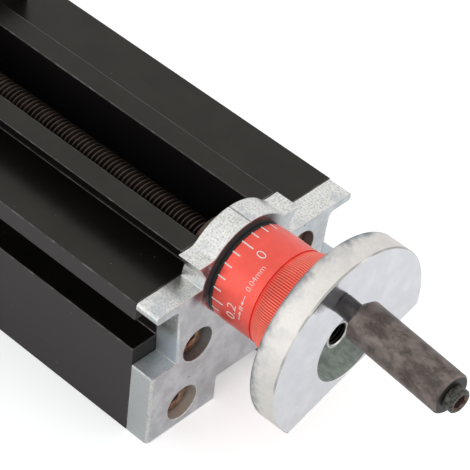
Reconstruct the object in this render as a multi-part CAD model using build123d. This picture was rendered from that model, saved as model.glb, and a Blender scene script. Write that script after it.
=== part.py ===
from build123d import *
import math
import os

# Cross slide: a dovetail bed with end plates, lead screw, saddle, dial and handwheel.
# Millimetres. X runs along the screw towards the handwheel, Z is up.
# The origin is the middle of the bed's underside, halfway along the bed.

os.makedirs("parts", exist_ok=True)

# Bed
BED_LENGTH = 150.0
FLANGE_WIDTH = 50.0
FLANGE_OVERHANG = 0.2
WAIST_WIDTH = 38.0
SCREW_AXIS_Z = 30.0
SCREW_AXIS_Y = -2.8
FLANGE_TOP_Z = 31.7
FLANGE_THICKNESS = 4.1
SIDE_GROOVE_HEIGHT = 7.3
RAIL_HEIGHT = 5.8
RAIL_TOP_WIDTH = 23.6
DOVETAIL_ANGLE = 60.0
CHANNEL_WIDTH = 13.8
CHANNEL_FLOOR_Z = 22.5
FOOT_SLOT_WIDTH = 14.7
FOOT_SLOT_HEIGHT = 5.75

# End plates
PLATE_THICKNESS = 5.2
PLATE_SHOULDER_Z = 16.6
PLATE_WAIST_BOTTOM_WIDTH = 37.8
PLATE_WAIST_TOP_WIDTH = 38.8
PLATE_BAR_TIP_THICKNESS = 1.8
PLATE_EAR_TOP_WIDTH = 25.1
PLATE_EAR_HEIGHT = 5.6
PLATE_HEAD_RADIUS = 11.4
PLATE_HEAD_FILLET = 2.0
PLATE_CORNER_RADIUS = 0.7
BAR_UNDERSIDE_FILLET = 1.2
INDEX_NOTCH_ANGLE = 2.0
INDEX_NOTCH_DEPTH = 0.35

# Screws that hold the plates: (y, z) places on the front plate
PLATE_SCREW_PLACES = [(-13.6, 18.2), (-16.2, 5.1), (12.0, 25.7), (16.2, 5.1)]
PLATE_SCREW_RADIUS = 2.0
PLATE_SCREW_LENGTH = 12.0
PLATE_SCREW_HEAD_RADIUS = 3.4
PLATE_SCREW_HEAD_HEIGHT = 1.7
PLATE_SCREW_SOCKET = 2.5
COUNTERBORE_RADIUS = 3.65
COUNTERBORE_DEPTH = 4.2

# Lead screw and its bearings
SCREW_RADIUS = 3.0
BUSH_OUTER_RADIUS = 4.5
REAR_JOURNAL_RADIUS = 2.5
REAR_SHOULDER_GAP = 1.0
SCREW_TAPPED_RADIUS = 2.1
SCREW_TAPPED_LENGTH = 10.0
SCREW_END_CHAMFER = 0.4
COLLAR_RADIUS = 5.5
COLLAR_LENGTH = 4.0
COLLAR_SET_SCREW_RADIUS = 1.25
COLLAR_SET_SCREW_SOCKET = 1.25
COLLAR_SET_SCREW_SINK = 0.3
SET_SCREW_SOCKET_DEPTH = 1.1

# Thrust washer and dial
WASHER_RADIUS = 10.6
WASHER_THICKNESS = 1.1
DIAL_RADIUS = 10.0
DIAL_BORE_RADIUS = 7.1
DIAL_SCALE_LENGTH = 8.6
DIAL_GROOVE_WIDTH = 0.35
DIAL_GROOVE_DEPTH = 0.35
KNURL_RADIUS = 10.8
KNURL_LENGTH = 7.6
KNURL_SWELL_LENGTH = 2.7
KNURL_SWELL_START_SLOPE = 0.15
DIAL_CHAMFER = 0.25

# Handwheel
WHEEL_RADIUS = 18.95
WHEEL_THICKNESS = 6.0
WHEEL_FRONT_X = 24.4
WHEEL_EDGE_RADIUS = 1.0
WHEEL_FRONT_EDGE_RADIUS = 0.3
WHEEL_FLAT_DISTANCE = 8.4
WHEEL_DISH_RADIUS = 7.7
WHEEL_DISH_DEPTH = 4.0
WHEEL_TURN = 18.0
HUB_RADIUS = 7.0
SCREW_END_BELOW_FACE = 2.6
DRIVE_PIN_RADIUS = 1.0
DRIVE_PIN_SINK = 0.2
SPRING_WIDTH = 4.0
SPRING_LENGTH = 7.0
SPRING_THICKNESS = 0.3
SPRING_POCKET_DEPTH = 1.2
SPRING_POCKET_MARGIN = 0.5
SPRING_PIN_GAP = 1.0

# Crank handle
CRANK_RADIUS = 12.5
PIN_LEAN = 4.65
PIN_NECK_RADIUS = 1.95
PIN_NECK_LENGTH = 4.6
PIN_FOOT_LENGTH = 5.4
PIN_AXLE_RADIUS = 1.6
GRIP_RADIUS = 3.95
GRIP_LENGTH = 21.0
GRIP_CHAMFER = 0.8
GRIP_SCREW_HEAD_RADIUS = 2.3
GRIP_SCREW_HEAD_HEIGHT = 3.0
GRIP_SCREW_SHANK_RADIUS = 0.9
GRIP_SCREW_SHANK_LENGTH = 5.0
GRIP_SCREW_SOCKET = 2.0

# Saddle
SADDLE_LENGTH = 50.0
SADDLE_NARROWER_BY = 6.0
SADDLE_HEIGHT = 15.3
SADDLE_FRONT_X = 0.0
SADDLE_EDGE_CHAMFER = 0.5
SADDLE_HOLE_SPACING = 30.0
SADDLE_HOLE_RADIUS = 2.1
SADDLE_HOLE_DEPTH = 8.0
GIB_THICKNESS = 2.0
GIB_SCREW_SPACING = 16.0
GIB_SCREW_RADIUS = 1.5
GIB_SCREW_STANDOUT = 2.2
GIB_DIMPLE_DEPTH = 0.6
GIB_NUT_WIDTH = 5.5
GIB_NUT_THICKNESS = 2.2
GIB_BOTTOM_GAP = 0.3
GIB_TOP_GAP = 0.1
GIB_END_INSET = 1.0
GIB_SCREW_SOCKET = 1.5
NUT_WIDTH = 12.0
NUT_LENGTH = 26.0
NUT_SCREW_SPACING = 16.0
NUT_SCREW_RADIUS = 1.5
NUT_SCREW_HEAD_RADIUS = 2.75
NUT_SCREW_HEAD_HEIGHT = 3.0
NUT_SCREW_HEAD_SINK = 0.5
NUT_SCREW_SOCKET = 2.5
NUT_SCREW_REACH = 3.6
NUT_FLOOR_GAP = 1.0

# Holes in the bed's underside that hold the slide down
BASE_HOLE_SPACING_X = 110.0
BASE_HOLE_SPACING_Y = 34.0
BASE_HOLE_RADIUS = 2.1
BASE_HOLE_DEPTH = 10.0

# Clearances
RUNNING_FIT = 0.05
SLIDE_FIT = 0.03
SEAT_GAP = 0.02
FACE_GAP = 0.05
ROOF_GAP = 0.5
HOLE_CLEARANCE = 0.15
SOCKET_DEPTH_SHARE = 0.6
HEAD_CHAMFER_SHARE = 0.15
CUT_PAST = 1.0

# Places worked out from the sizes above
HALF_BED = BED_LENGTH / 2
BASE_WIDTH = FLANGE_WIDTH - 2 * FLANGE_OVERHANG
PLATE_FACE_X = HALF_BED + PLATE_THICKNESS
RAIL_TOP_Z = FLANGE_TOP_Z + RAIL_HEIGHT
GROOVE_TOP_Z = FLANGE_TOP_Z - FLANGE_THICKNESS
GROOVE_BOTTOM_Z = GROOVE_TOP_Z - SIDE_GROOVE_HEIGHT
SLOPE = 1 / math.tan(math.radians(DOVETAIL_ANGLE))
RAIL_FOOT_HALF = RAIL_TOP_WIDTH / 2 - RAIL_HEIGHT * SLOPE
EAR_TOP_Z = FLANGE_TOP_Z + PLATE_EAR_HEIGHT
DIAL_START_X = PLATE_FACE_X + WASHER_THICKNESS + FACE_GAP
WHEEL_FACE_X = PLATE_FACE_X + WHEEL_FRONT_X
WHEEL_BACK_X = WHEEL_FACE_X - WHEEL_THICKNESS
DISH_FLOOR_X = WHEEL_FACE_X - WHEEL_DISH_DEPTH
SCREW_FRONT_X = WHEEL_FACE_X - SCREW_END_BELOW_FACE
KNURL_START_X = DIAL_START_X + DIAL_SCALE_LENGTH + DIAL_GROOVE_WIDTH
DIAL_END_X = KNURL_START_X + KNURL_LENGTH
SADDLE_MIDDLE_X = SADDLE_FRONT_X - SADDLE_LENGTH / 2
SADDLE_WIDTH = FLANGE_WIDTH - SADDLE_NARROWER_BY
SADDLE_TOP_Z = FLANGE_TOP_Z + SADDLE_HEIGHT
ROOF_Z = RAIL_TOP_Z + ROOF_GAP


def on_axis(x):
    """Plane across the screw axis at x, facing +X, with its local y up."""
    return Plane(origin=(x, SCREW_AXIS_Y, SCREW_AXIS_Z), x_dir=(0, 1, 0), z_dir=(1, 0, 0))


def rod(radius, start_x, end_x):
    """Cylinder on the screw axis from start_x to end_x."""
    return extrude(on_axis(start_x) * Circle(radius), end_x - start_x)


def turned(points):
    """Solid turned about the screw axis from (x, radius) points."""
    placed = [(x, SCREW_AXIS_Y, SCREW_AXIS_Z + radius) for x, radius in points]
    axis = Axis((0, SCREW_AXIS_Y, SCREW_AXIS_Z), (1, 0, 0))
    return revolve(make_face(Polyline(*placed, close=True)), axis, 360)


def section(points):
    """Flat closed outline from (y, z) points."""
    return make_face(Polyline(*points, close=True))


def mirrored_outline(half_points, centre_y=0.0):
    """Outline that is the same on both sides of centre_y, from (half width, z) points, bottom up."""
    right = [(centre_y + half, z) for half, z in half_points]
    left = [(centre_y - half, z) for half, z in reversed(half_points)]
    return section(right + left)


def along_x(face, start_x, end_x):
    """Prism of a (y, z) outline from start_x to end_x."""
    return extrude(Plane.YZ.offset(start_x) * face, end_x - start_x)


def hole_x(y, z, radius, start_x, end_x):
    """Cylinder along X at (y, z)."""
    return extrude(Plane.YZ.offset(start_x) * Pos(y, z) * Circle(radius), end_x - start_x)


def socket_screw(shank_radius, shank_length, head_radius, head_height, socket_width):
    """Screw whose head rises from z = 0 and whose shank goes down, with a hexagon socket."""
    head = chamfer(Cylinder(head_radius, head_height, align=BOTTOM).edges().group_by(Axis.Z)[-1],
                   head_height * HEAD_CHAMFER_SHARE)
    shank = Cylinder(shank_radius, shank_length, align=TOP)
    depth = head_height * SOCKET_DEPTH_SHARE
    socket = extrude(Pos(0, 0, head_height - depth) * hexagon(socket_width), depth)
    return head + shank - socket


def hexagon(width):
    """Regular hexagon with the given width across its flats."""
    return RegularPolygon(width / math.sqrt(3), 6)


def pointing(solid, y, z, x, direction):
    """Turn a solid whose own axis is +Z to lie along X at (x, y, z), facing direction (+1 or -1)."""
    return Pos(x, y, z) * Rot(0, 90 * direction, 0) * solid


def save(node, shape):
    """Write one node to its file."""
    export_step(shape, f"parts/{node}.step")


BOTTOM = (Align.CENTER, Align.CENTER, Align.MIN)
TOP = (Align.CENTER, Align.CENTER, Align.MAX)


def bed_outline():
    """Section of the bed: base, waist, flanges and two dovetail rails round the screw channel."""
    foot = FOOT_SLOT_WIDTH / 2
    body = mirrored_outline([(BASE_WIDTH / 2, 0), (BASE_WIDTH / 2, GROOVE_BOTTOM_Z),
                             (WAIST_WIDTH / 2, GROOVE_BOTTOM_Z), (WAIST_WIDTH / 2, GROOVE_TOP_Z),
                             (FLANGE_WIDTH / 2, GROOVE_TOP_Z), (FLANGE_WIDTH / 2, FLANGE_TOP_Z)])
    rails = mirrored_outline([(RAIL_FOOT_HALF, FLANGE_TOP_Z), (RAIL_TOP_WIDTH / 2, RAIL_TOP_Z)],
                             SCREW_AXIS_Y)
    channel = mirrored_outline([(CHANNEL_WIDTH / 2, CHANNEL_FLOOR_Z), (CHANNEL_WIDTH / 2, RAIL_TOP_Z)],
                               SCREW_AXIS_Y)
    slot = mirrored_outline([(foot, 0), (foot, FOOT_SLOT_HEIGHT)])
    return body + rails - channel - slot


def plate_screw_places(side):
    """Places of a plate's screws: the rear plate faces the other way and keeps the same holes."""
    return [(y, z, side * HALF_BED) for y, z in PLATE_SCREW_PLACES]


def bed_rail():
    """The bed, with tapped holes for both plates and for holding it down."""
    bed = along_x(bed_outline(), -HALF_BED, HALF_BED)
    depth = PLATE_SCREW_LENGTH
    radius = PLATE_SCREW_RADIUS + SEAT_GAP
    for side in (-1, 1):
        for y, z, x in plate_screw_places(side):
            bed -= hole_x(y, z, radius, x - side * depth, x)
    for x in (-BASE_HOLE_SPACING_X / 2, BASE_HOLE_SPACING_X / 2):
        for y in (-BASE_HOLE_SPACING_Y / 2, BASE_HOLE_SPACING_Y / 2):
            bed -= Pos(x, y, 0) * Cylinder(BASE_HOLE_RADIUS, BASE_HOLE_DEPTH, align=BOTTOM)
    return bed


def plate_outline():
    """Section of an end plate: base, tapered waist, thin bar, dovetail ears and a round head."""
    foot = FOOT_SLOT_WIDTH / 2
    bar_bottom = FLANGE_TOP_Z - PLATE_BAR_TIP_THICKNESS
    waist_bottom = PLATE_WAIST_BOTTOM_WIDTH / 2
    waist_top = PLATE_WAIST_TOP_WIDTH / 2
    body = mirrored_outline([(BASE_WIDTH / 2, 0), (BASE_WIDTH / 2, PLATE_SHOULDER_Z),
                             (waist_bottom, PLATE_SHOULDER_Z), (waist_top, bar_bottom),
                             (FLANGE_WIDTH / 2, bar_bottom), (FLANGE_WIDTH / 2, FLANGE_TOP_Z)])
    inner = [v for v in body.vertices() if abs(v.Y - bar_bottom) < 0.01 and abs(v.X) < waist_top + 0.01]
    body = fillet(inner, BAR_UNDERSIDE_FILLET)
    tips = [v for v in body.vertices() if abs(v.X) > FLANGE_WIDTH / 2 - 0.01 and v.Y > bar_bottom - 0.01]
    body = fillet(tips, PLATE_CORNER_RADIUS)
    ear_top = PLATE_EAR_TOP_WIDTH / 2
    ears = mirrored_outline([(ear_top - PLATE_EAR_HEIGHT * SLOPE, FLANGE_TOP_Z), (ear_top, EAR_TOP_Z)],
                            SCREW_AXIS_Y)
    crown = ears + Pos(SCREW_AXIS_Y, SCREW_AXIS_Z) * Circle(PLATE_HEAD_RADIUS)
    reach = math.sqrt(PLATE_HEAD_RADIUS**2 - (EAR_TOP_Z - SCREW_AXIS_Z) ** 2)
    corners = [v for v in crown.vertices()
               if abs(v.Y - EAR_TOP_Z) < 0.01 and abs(abs(v.X - SCREW_AXIS_Y) - reach) < 0.01]
    crown = fillet(corners, PLATE_HEAD_FILLET)
    slot = mirrored_outline([(foot, 0), (foot, FOOT_SLOT_HEIGHT)])
    return body + crown - slot


def index_notch():
    """Small V cut across the top of the head, beside which the dial is read."""
    tip = PLATE_HEAD_RADIUS - INDEX_NOTCH_DEPTH
    mouth = PLATE_HEAD_RADIUS + FACE_GAP
    cut = section([(0, tip), (INDEX_NOTCH_DEPTH, mouth), (-INDEX_NOTCH_DEPTH, mouth)])
    return extrude(on_axis(HALF_BED) * Rot(0, 0, INDEX_NOTCH_ANGLE) * cut, PLATE_THICKNESS)


def end_plate(side):
    """End plate on the bed's end at side (+1 front, -1 rear), with its screw holes and bush bore."""
    inner_x = side * HALF_BED
    outer_x = side * PLATE_FACE_X
    low, high = sorted((inner_x, outer_x))
    plate = along_x(plate_outline(), low, high)
    for y, z, x in plate_screw_places(side):
        plate -= hole_x(y, z, PLATE_SCREW_RADIUS + HOLE_CLEARANCE, low, high)
        plate -= hole_x(y, z, COUNTERBORE_RADIUS, *sorted((outer_x, outer_x - side * COUNTERBORE_DEPTH)))
    return plate - rod(BUSH_OUTER_RADIUS + SEAT_GAP, low, high)


def front_end_plate():
    """Front plate, with the index notch."""
    return end_plate(1) - index_notch()


def rear_end_plate():
    """Rear plate, the same casting turned to the rear."""
    return end_plate(-1)


def plate_screws(side):
    """Four screws of one plate."""
    seat_x = side * (PLATE_FACE_X - COUNTERBORE_DEPTH)
    shank = PLATE_SCREW_LENGTH + PLATE_THICKNESS - COUNTERBORE_DEPTH - FACE_GAP
    screw = socket_screw(PLATE_SCREW_RADIUS, shank, PLATE_SCREW_HEAD_RADIUS,
                         PLATE_SCREW_HEAD_HEIGHT, PLATE_SCREW_SOCKET)
    return Compound([pointing(screw, y, z, seat_x, side) for y, z, x in plate_screw_places(side)])


def bearing_bush(low, high, bore_radius):
    """Plain bush in an end plate."""
    return rod(BUSH_OUTER_RADIUS, low, high) - rod(bore_radius, low, high)


def thrust_washer():
    """Black washer between the front plate and the dial."""
    return (rod(WASHER_RADIUS, PLATE_FACE_X, PLATE_FACE_X + WASHER_THICKNESS)
            - rod(SCREW_RADIUS + RUNNING_FIT, PLATE_FACE_X, PLATE_FACE_X + WASHER_THICKNESS))


def lead_screw():
    """Lead screw from the rear bush to the tapped end in the handwheel."""
    end = SCREW_END_CHAMFER
    rear_x = -PLATE_FACE_X
    shoulder_x = -HALF_BED + REAR_SHOULDER_GAP
    body = turned([(rear_x, 0), (rear_x, REAR_JOURNAL_RADIUS - end),
                   (rear_x + end, REAR_JOURNAL_RADIUS), (shoulder_x, REAR_JOURNAL_RADIUS),
                   (shoulder_x, SCREW_RADIUS), (SCREW_FRONT_X - end / 2, SCREW_RADIUS),
                   (SCREW_FRONT_X, SCREW_RADIUS - end / 2), (SCREW_FRONT_X, 0)])
    bore = turned([(SCREW_FRONT_X - SCREW_TAPPED_LENGTH, 0),
                   (SCREW_FRONT_X - SCREW_TAPPED_LENGTH, SCREW_TAPPED_RADIUS),
                   (SCREW_FRONT_X, SCREW_TAPPED_RADIUS), (SCREW_FRONT_X, 0)])
    body -= bore
    return body - drive_pin_hole() - collar_screw_hole()


def collar_middle_x():
    """Middle of the collar behind the front plate."""
    return HALF_BED - FACE_GAP - COLLAR_LENGTH / 2


def collar_screw_hole():
    """Hole of the collar's set screw, which bites a little into the lead screw."""
    depth = COLLAR_RADIUS - SCREW_RADIUS + SEAT_GAP + COLLAR_SET_SCREW_SINK
    start = Pos(collar_middle_x(), SCREW_AXIS_Y, SCREW_AXIS_Z + COLLAR_RADIUS)
    return start * Cylinder(COLLAR_SET_SCREW_RADIUS + SEAT_GAP, depth, align=TOP)


def thrust_collar():
    """Collar that holds the screw against the front plate from behind."""
    start = HALF_BED - FACE_GAP - COLLAR_LENGTH
    end = HALF_BED - FACE_GAP
    ring = rod(COLLAR_RADIUS, start, end) - rod(SCREW_RADIUS + SEAT_GAP, start, end)
    return ring - collar_screw_hole()


def collar_set_screw():
    """Headless screw in the collar."""
    length = COLLAR_RADIUS - SCREW_RADIUS
    top_z = SCREW_AXIS_Z + COLLAR_RADIUS - COLLAR_SET_SCREW_SINK
    place = Pos(collar_middle_x(), SCREW_AXIS_Y, top_z)
    socket = Pos(0, 0, -SET_SCREW_SOCKET_DEPTH) * hexagon(COLLAR_SET_SCREW_SOCKET)
    socket = extrude(socket, SET_SCREW_SOCKET_DEPTH)
    return place * (Cylinder(COLLAR_SET_SCREW_RADIUS, length, align=TOP) - socket)


def drive_pin_x():
    """Place of the cross pin, half along the hub."""
    return (DIAL_START_X + WHEEL_BACK_X) / 2


def drive_pin_hole():
    """Cross hole through hub and screw."""
    hole = Cylinder(DRIVE_PIN_RADIUS + SEAT_GAP, 2 * HUB_RADIUS + CUT_PAST)
    return on_wheel(drive_pin_x()) * Rot(90, 0, 0) * hole


def on_wheel(x):
    """Plane across the screw axis, turned with the handwheel: local y points at the crank pin."""
    return on_axis(x) * Rot(0, 0, WHEEL_TURN)


def handwheel():
    """Plated wheel: disc with a flat, dished front, and a hub behind that carries the dial."""
    disc = rod(WHEEL_RADIUS, WHEEL_BACK_X, WHEEL_FACE_X)
    disc = fillet(disc.edges().group_by(Axis.X)[0], WHEEL_EDGE_RADIUS)
    disc = fillet(disc.edges().group_by(Axis.X)[-1], WHEEL_FRONT_EDGE_RADIUS)
    far = 2 * WHEEL_RADIUS
    keep = Pos(0, far / 2 - WHEEL_FLAT_DISTANCE) * Rectangle(far + CUT_PAST, far)
    disc &= extrude(on_wheel(WHEEL_BACK_X) * keep, WHEEL_THICKNESS)
    dish = rod(WHEEL_DISH_RADIUS, DISH_FLOOR_X, WHEEL_FACE_X)
    hub = rod(HUB_RADIUS, DIAL_START_X, DISH_FLOOR_X)
    wheel = disc - dish + hub
    wheel -= rod(SCREW_RADIUS + SEAT_GAP, DIAL_START_X, DISH_FLOOR_X)
    wheel -= drive_pin_hole()
    wheel -= spring_pocket()
    return wheel - pin_solid(PIN_AXLE_RADIUS + SEAT_GAP, -WHEEL_THICKNESS - CUT_PAST, CUT_PAST)


def wheel_drive_pin():
    """Cross pin through the hub and the screw, covered by the dial."""
    pin = Cylinder(DRIVE_PIN_RADIUS, 2 * (HUB_RADIUS - DRIVE_PIN_SINK))
    return on_wheel(drive_pin_x()) * Rot(90, 0, 0) * pin


def spring_pocket():
    """Flat pocket in the hub, on the side away from the crank pin, for the dial spring."""
    floor = HUB_RADIUS - SPRING_POCKET_DEPTH
    length = SPRING_LENGTH + 2 * SPRING_POCKET_MARGIN
    outline = Pos(0, -floor - SPRING_POCKET_DEPTH) * Rectangle(length, 2 * SPRING_POCKET_DEPTH)
    return extrude(on_wheel(spring_start_x()) * outline, SPRING_WIDTH + 2 * FACE_GAP)


def spring_start_x():
    """Rear end of the spring pocket, well clear of the drive pin."""
    return drive_pin_x() + DRIVE_PIN_RADIUS + SPRING_PIN_GAP


def dial_spring():
    """Bowed leaf spring whose ends rest on the pocket floor and whose middle bears on the dial."""
    floor = -(HUB_RADIUS - SPRING_POCKET_DEPTH)
    half = SPRING_LENGTH / 2
    lift = -(DIAL_BORE_RADIUS - FACE_GAP - SPRING_THICKNESS)
    lower = ThreePointArc((-half, floor - FACE_GAP), (0, lift), (half, floor - FACE_GAP))
    upper = ThreePointArc((half, floor - FACE_GAP - SPRING_THICKNESS), (0, lift - SPRING_THICKNESS),
                          (-half, floor - FACE_GAP - SPRING_THICKNESS))
    ends = [Line(lower @ 1, upper @ 0), Line(upper @ 1, lower @ 0)]
    face = make_face([lower, upper] + ends)
    return extrude(on_wheel(spring_start_x() + FACE_GAP) * face, SPRING_WIDTH)


def graduated_dial():
    """Dial ring: scale drum, thin groove, and a band that swells towards the wheel."""
    groove_x = DIAL_START_X + DIAL_SCALE_LENGTH
    corner = DIAL_CHAMFER
    start = on_axis_point(DIAL_START_X, DIAL_BORE_RADIUS)
    points = [(DIAL_START_X, DIAL_BORE_RADIUS), (DIAL_START_X, DIAL_RADIUS - corner),
              (DIAL_START_X + corner, DIAL_RADIUS), (groove_x, DIAL_RADIUS),
              (groove_x, DIAL_RADIUS - DIAL_GROOVE_DEPTH),
              (KNURL_START_X, DIAL_RADIUS - DIAL_GROOVE_DEPTH), (KNURL_START_X, DIAL_RADIUS)]
    outline = [on_axis_point(x, radius) for x, radius in points]
    swell_end = on_axis_point(KNURL_START_X + KNURL_SWELL_LENGTH, KNURL_RADIUS)
    rim = on_axis_point(DIAL_END_X, KNURL_RADIUS)
    back = on_axis_point(DIAL_END_X, DIAL_BORE_RADIUS)
    swell = Spline(outline[-1], swell_end, tangents=[(1, 0, KNURL_SWELL_START_SLOPE), (1, 0, 0)])
    wires = [Polyline(*outline), swell, Line(swell_end, rim), Line(rim, back), Line(back, start)]
    axis = Axis((0, SCREW_AXIS_Y, SCREW_AXIS_Z), (1, 0, 0))
    return revolve(make_face(wires), axis, 360)


def on_axis_point(x, radius):
    """Point above the screw axis at a radius."""
    return (x, SCREW_AXIS_Y, SCREW_AXIS_Z + radius)


def pin_frame():
    """Place of the crank pin: origin in the wheel's face, local +Z along the leaning pin."""
    return on_wheel(WHEEL_FACE_X) * Pos(0, CRANK_RADIUS, 0) * Rot(0, -PIN_LEAN, 0)


def pin_solid(radius, start, end):
    """Cylinder on the crank pin's axis."""
    return pin_frame() * Pos(0, 0, start) * Cylinder(radius, end - start, align=BOTTOM)


def grip_start():
    """Distance from the wheel's face to the grip along the pin."""
    return PIN_NECK_LENGTH + FACE_GAP


def crank_pin():
    """Shouldered pin: foot in the wheel, neck, and the axle that the grip turns on."""
    axle_end = grip_start() + GRIP_LENGTH + FACE_GAP
    before_wheel = rod(WHEEL_RADIUS, WHEEL_FACE_X + SEAT_GAP, WHEEL_FACE_X + 2 * PIN_NECK_LENGTH)
    pin = pin_solid(PIN_NECK_RADIUS, -CUT_PAST, PIN_NECK_LENGTH) & before_wheel
    pin += pin_solid(PIN_AXLE_RADIUS, -PIN_FOOT_LENGTH, axle_end)
    hole_start = axle_end - GRIP_SCREW_SHANK_LENGTH
    return pin - pin_solid(GRIP_SCREW_SHANK_RADIUS + SEAT_GAP, hole_start, axle_end)


def grip_sleeve():
    """Black sleeve that turns on the pin."""
    sleeve = chamfer(Cylinder(GRIP_RADIUS, GRIP_LENGTH, align=BOTTOM).edges().filter_by(GeomType.CIRCLE),
                     GRIP_CHAMFER)
    sleeve -= Cylinder(PIN_AXLE_RADIUS + RUNNING_FIT, GRIP_LENGTH, align=BOTTOM)
    return pin_frame() * Pos(0, 0, grip_start()) * sleeve


def grip_end_screw():
    """Screw with a hexagon socket that keeps the sleeve on the pin."""
    screw = socket_screw(GRIP_SCREW_SHANK_RADIUS, GRIP_SCREW_SHANK_LENGTH - FACE_GAP,
                         GRIP_SCREW_HEAD_RADIUS, GRIP_SCREW_HEAD_HEIGHT, GRIP_SCREW_SOCKET)
    return pin_frame() * Pos(0, 0, grip_start() + GRIP_LENGTH + FACE_GAP) * screw


def gib_screw_z():
    """Height of the gib screws, half up the rail."""
    return FLANGE_TOP_Z + RAIL_HEIGHT / 2


def gib_screw_places():
    """X places of the gib screws."""
    return [SADDLE_MIDDLE_X + step * GIB_SCREW_SPACING for step in (-1, 0, 1)]


def gib_outer_y(z):
    """Outer face of the gib at height z, with both slide clearances."""
    rail = SCREW_AXIS_Y + RAIL_FOOT_HALF + (z - FLANGE_TOP_Z) * SLOPE
    sine = math.sin(math.radians(DOVETAIL_ANGLE))
    return rail + (GIB_THICKNESS + SLIDE_FIT) / sine


def gib_seat_y():
    """Floor of the dimples that the gib screws press on."""
    return gib_outer_y(gib_screw_z() - GIB_SCREW_RADIUS) - GIB_DIMPLE_DEPTH


def saddle_outline():
    """Section of the saddle: block with a female dovetail that is wider on the gib side."""
    sine = math.sin(math.radians(DOVETAIL_ANGLE))
    half = SADDLE_WIDTH / 2
    bottom = FLANGE_TOP_Z + SEAT_GAP
    block = mirrored_outline([(half, bottom), (half, SADDLE_TOP_Z)], SCREW_AXIS_Y)
    left_low = SCREW_AXIS_Y - RAIL_FOOT_HALF - SLIDE_FIT / sine
    rise = ROOF_Z - FLANGE_TOP_Z
    right_low = gib_outer_y(FLANGE_TOP_Z) + SEAT_GAP
    cut = section([(left_low, FLANGE_TOP_Z), (right_low, FLANGE_TOP_Z),
                   (right_low + rise * SLOPE, ROOF_Z), (left_low - rise * SLOPE, ROOF_Z)])
    return block - cut


def saddle_block():
    """Carriage that slides on the bed, with four tapped holes on top."""
    back = SADDLE_FRONT_X - SADDLE_LENGTH
    block = along_x(saddle_outline(), back, SADDLE_FRONT_X)
    top_edges = block.edges().group_by(Axis.Z)[-1]
    block = chamfer(top_edges, SADDLE_EDGE_CHAMFER)
    for dx in (-1, 1):
        for dy in (-1, 1):
            place = Pos(SADDLE_MIDDLE_X + dx * SADDLE_HOLE_SPACING / 2,
                        SCREW_AXIS_Y + dy * SADDLE_HOLE_SPACING / 2, SADDLE_TOP_Z)
            block -= place * Cylinder(SADDLE_HOLE_RADIUS, SADDLE_HOLE_DEPTH, align=TOP)
    for x in gib_screw_places():
        reach = SADDLE_WIDTH / 2 + SCREW_AXIS_Y - gib_seat_y()
        block -= gib_line(x) * Cylinder(GIB_SCREW_RADIUS + SEAT_GAP, reach, align=TOP)
    for place in nut_screw_places():
        block -= place * Cylinder(NUT_SCREW_RADIUS + HOLE_CLEARANCE, SADDLE_HEIGHT, align=TOP)
        block -= place * Cylinder(NUT_SCREW_HEAD_RADIUS + HOLE_CLEARANCE,
                                  NUT_SCREW_HEAD_HEIGHT + NUT_SCREW_HEAD_SINK, align=TOP)
    return block


def gib_line(x):
    """Place on the saddle's gib side, local +Z pointing out of it, at a gib screw."""
    return Pos(x, SCREW_AXIS_Y + SADDLE_WIDTH / 2, gib_screw_z()) * Rot(-90, 0, 0)


def nut_screw_places():
    """Places on the saddle's top of the screws that hold the lead nut."""
    return [Pos(SADDLE_MIDDLE_X + side * NUT_SCREW_SPACING / 2, SCREW_AXIS_Y, SADDLE_TOP_Z)
            for side in (-1, 1)]


def gib_strip():
    """Flat gib between the bed's right rail and the saddle, with dimples for its screws."""
    sine = math.sin(math.radians(DOVETAIL_ANGLE))
    low_z = FLANGE_TOP_Z + GIB_BOTTOM_GAP
    high_z = ROOF_Z - GIB_TOP_GAP
    width = GIB_THICKNESS / sine
    outline = section([(gib_outer_y(low_z) - width, low_z), (gib_outer_y(low_z), low_z),
                       (gib_outer_y(high_z), high_z), (gib_outer_y(high_z) - width, high_z)])
    strip = along_x(outline, SADDLE_FRONT_X - SADDLE_LENGTH + GIB_END_INSET,
                    SADDLE_FRONT_X - GIB_END_INSET)
    for x in gib_screw_places():
        hole = Cylinder(GIB_SCREW_RADIUS + SEAT_GAP, 2 * GIB_THICKNESS, align=BOTTOM)
        strip -= Pos(x, gib_seat_y(), gib_screw_z()) * Rot(-90, 0, 0) * hole
    return strip


def gib_screws():
    """Three set screws that press on the gib."""
    length = SADDLE_WIDTH / 2 + SCREW_AXIS_Y + GIB_SCREW_STANDOUT + GIB_NUT_THICKNESS
    length -= gib_seat_y() + SEAT_GAP
    screw = Cylinder(GIB_SCREW_RADIUS, length, align=BOTTOM)
    socket = Pos(0, 0, length - SET_SCREW_SOCKET_DEPTH) * hexagon(GIB_SCREW_SOCKET)
    screw -= extrude(socket, SET_SCREW_SOCKET_DEPTH)
    return Compound([Pos(x, gib_seat_y() + SEAT_GAP, gib_screw_z()) * Rot(-90, 0, 0) * screw
                     for x in gib_screw_places()])


def gib_lock_nuts():
    """Three lock nuts on the gib screws."""
    nut = extrude(hexagon(GIB_NUT_WIDTH) - Circle(GIB_SCREW_RADIUS + SEAT_GAP), GIB_NUT_THICKNESS)
    return Compound([gib_line(x) * nut for x in gib_screw_places()])


def lead_nut():
    """Bronze nut under the saddle, round the lead screw."""
    top = ROOF_Z
    bottom = CHANNEL_FLOOR_Z + NUT_FLOOR_GAP
    block = Pos(SADDLE_MIDDLE_X, SCREW_AXIS_Y, bottom) * Box(NUT_LENGTH, NUT_WIDTH, top - bottom,
                                                             align=BOTTOM)
    block -= rod(SCREW_RADIUS + RUNNING_FIT, SADDLE_MIDDLE_X - NUT_LENGTH, SADDLE_MIDDLE_X + NUT_LENGTH)
    for place in nut_screw_places():
        depth = SADDLE_TOP_Z - ROOF_Z + NUT_SCREW_REACH
        block -= place * Cylinder(NUT_SCREW_RADIUS + SEAT_GAP, depth, align=TOP)
    return block


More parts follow.
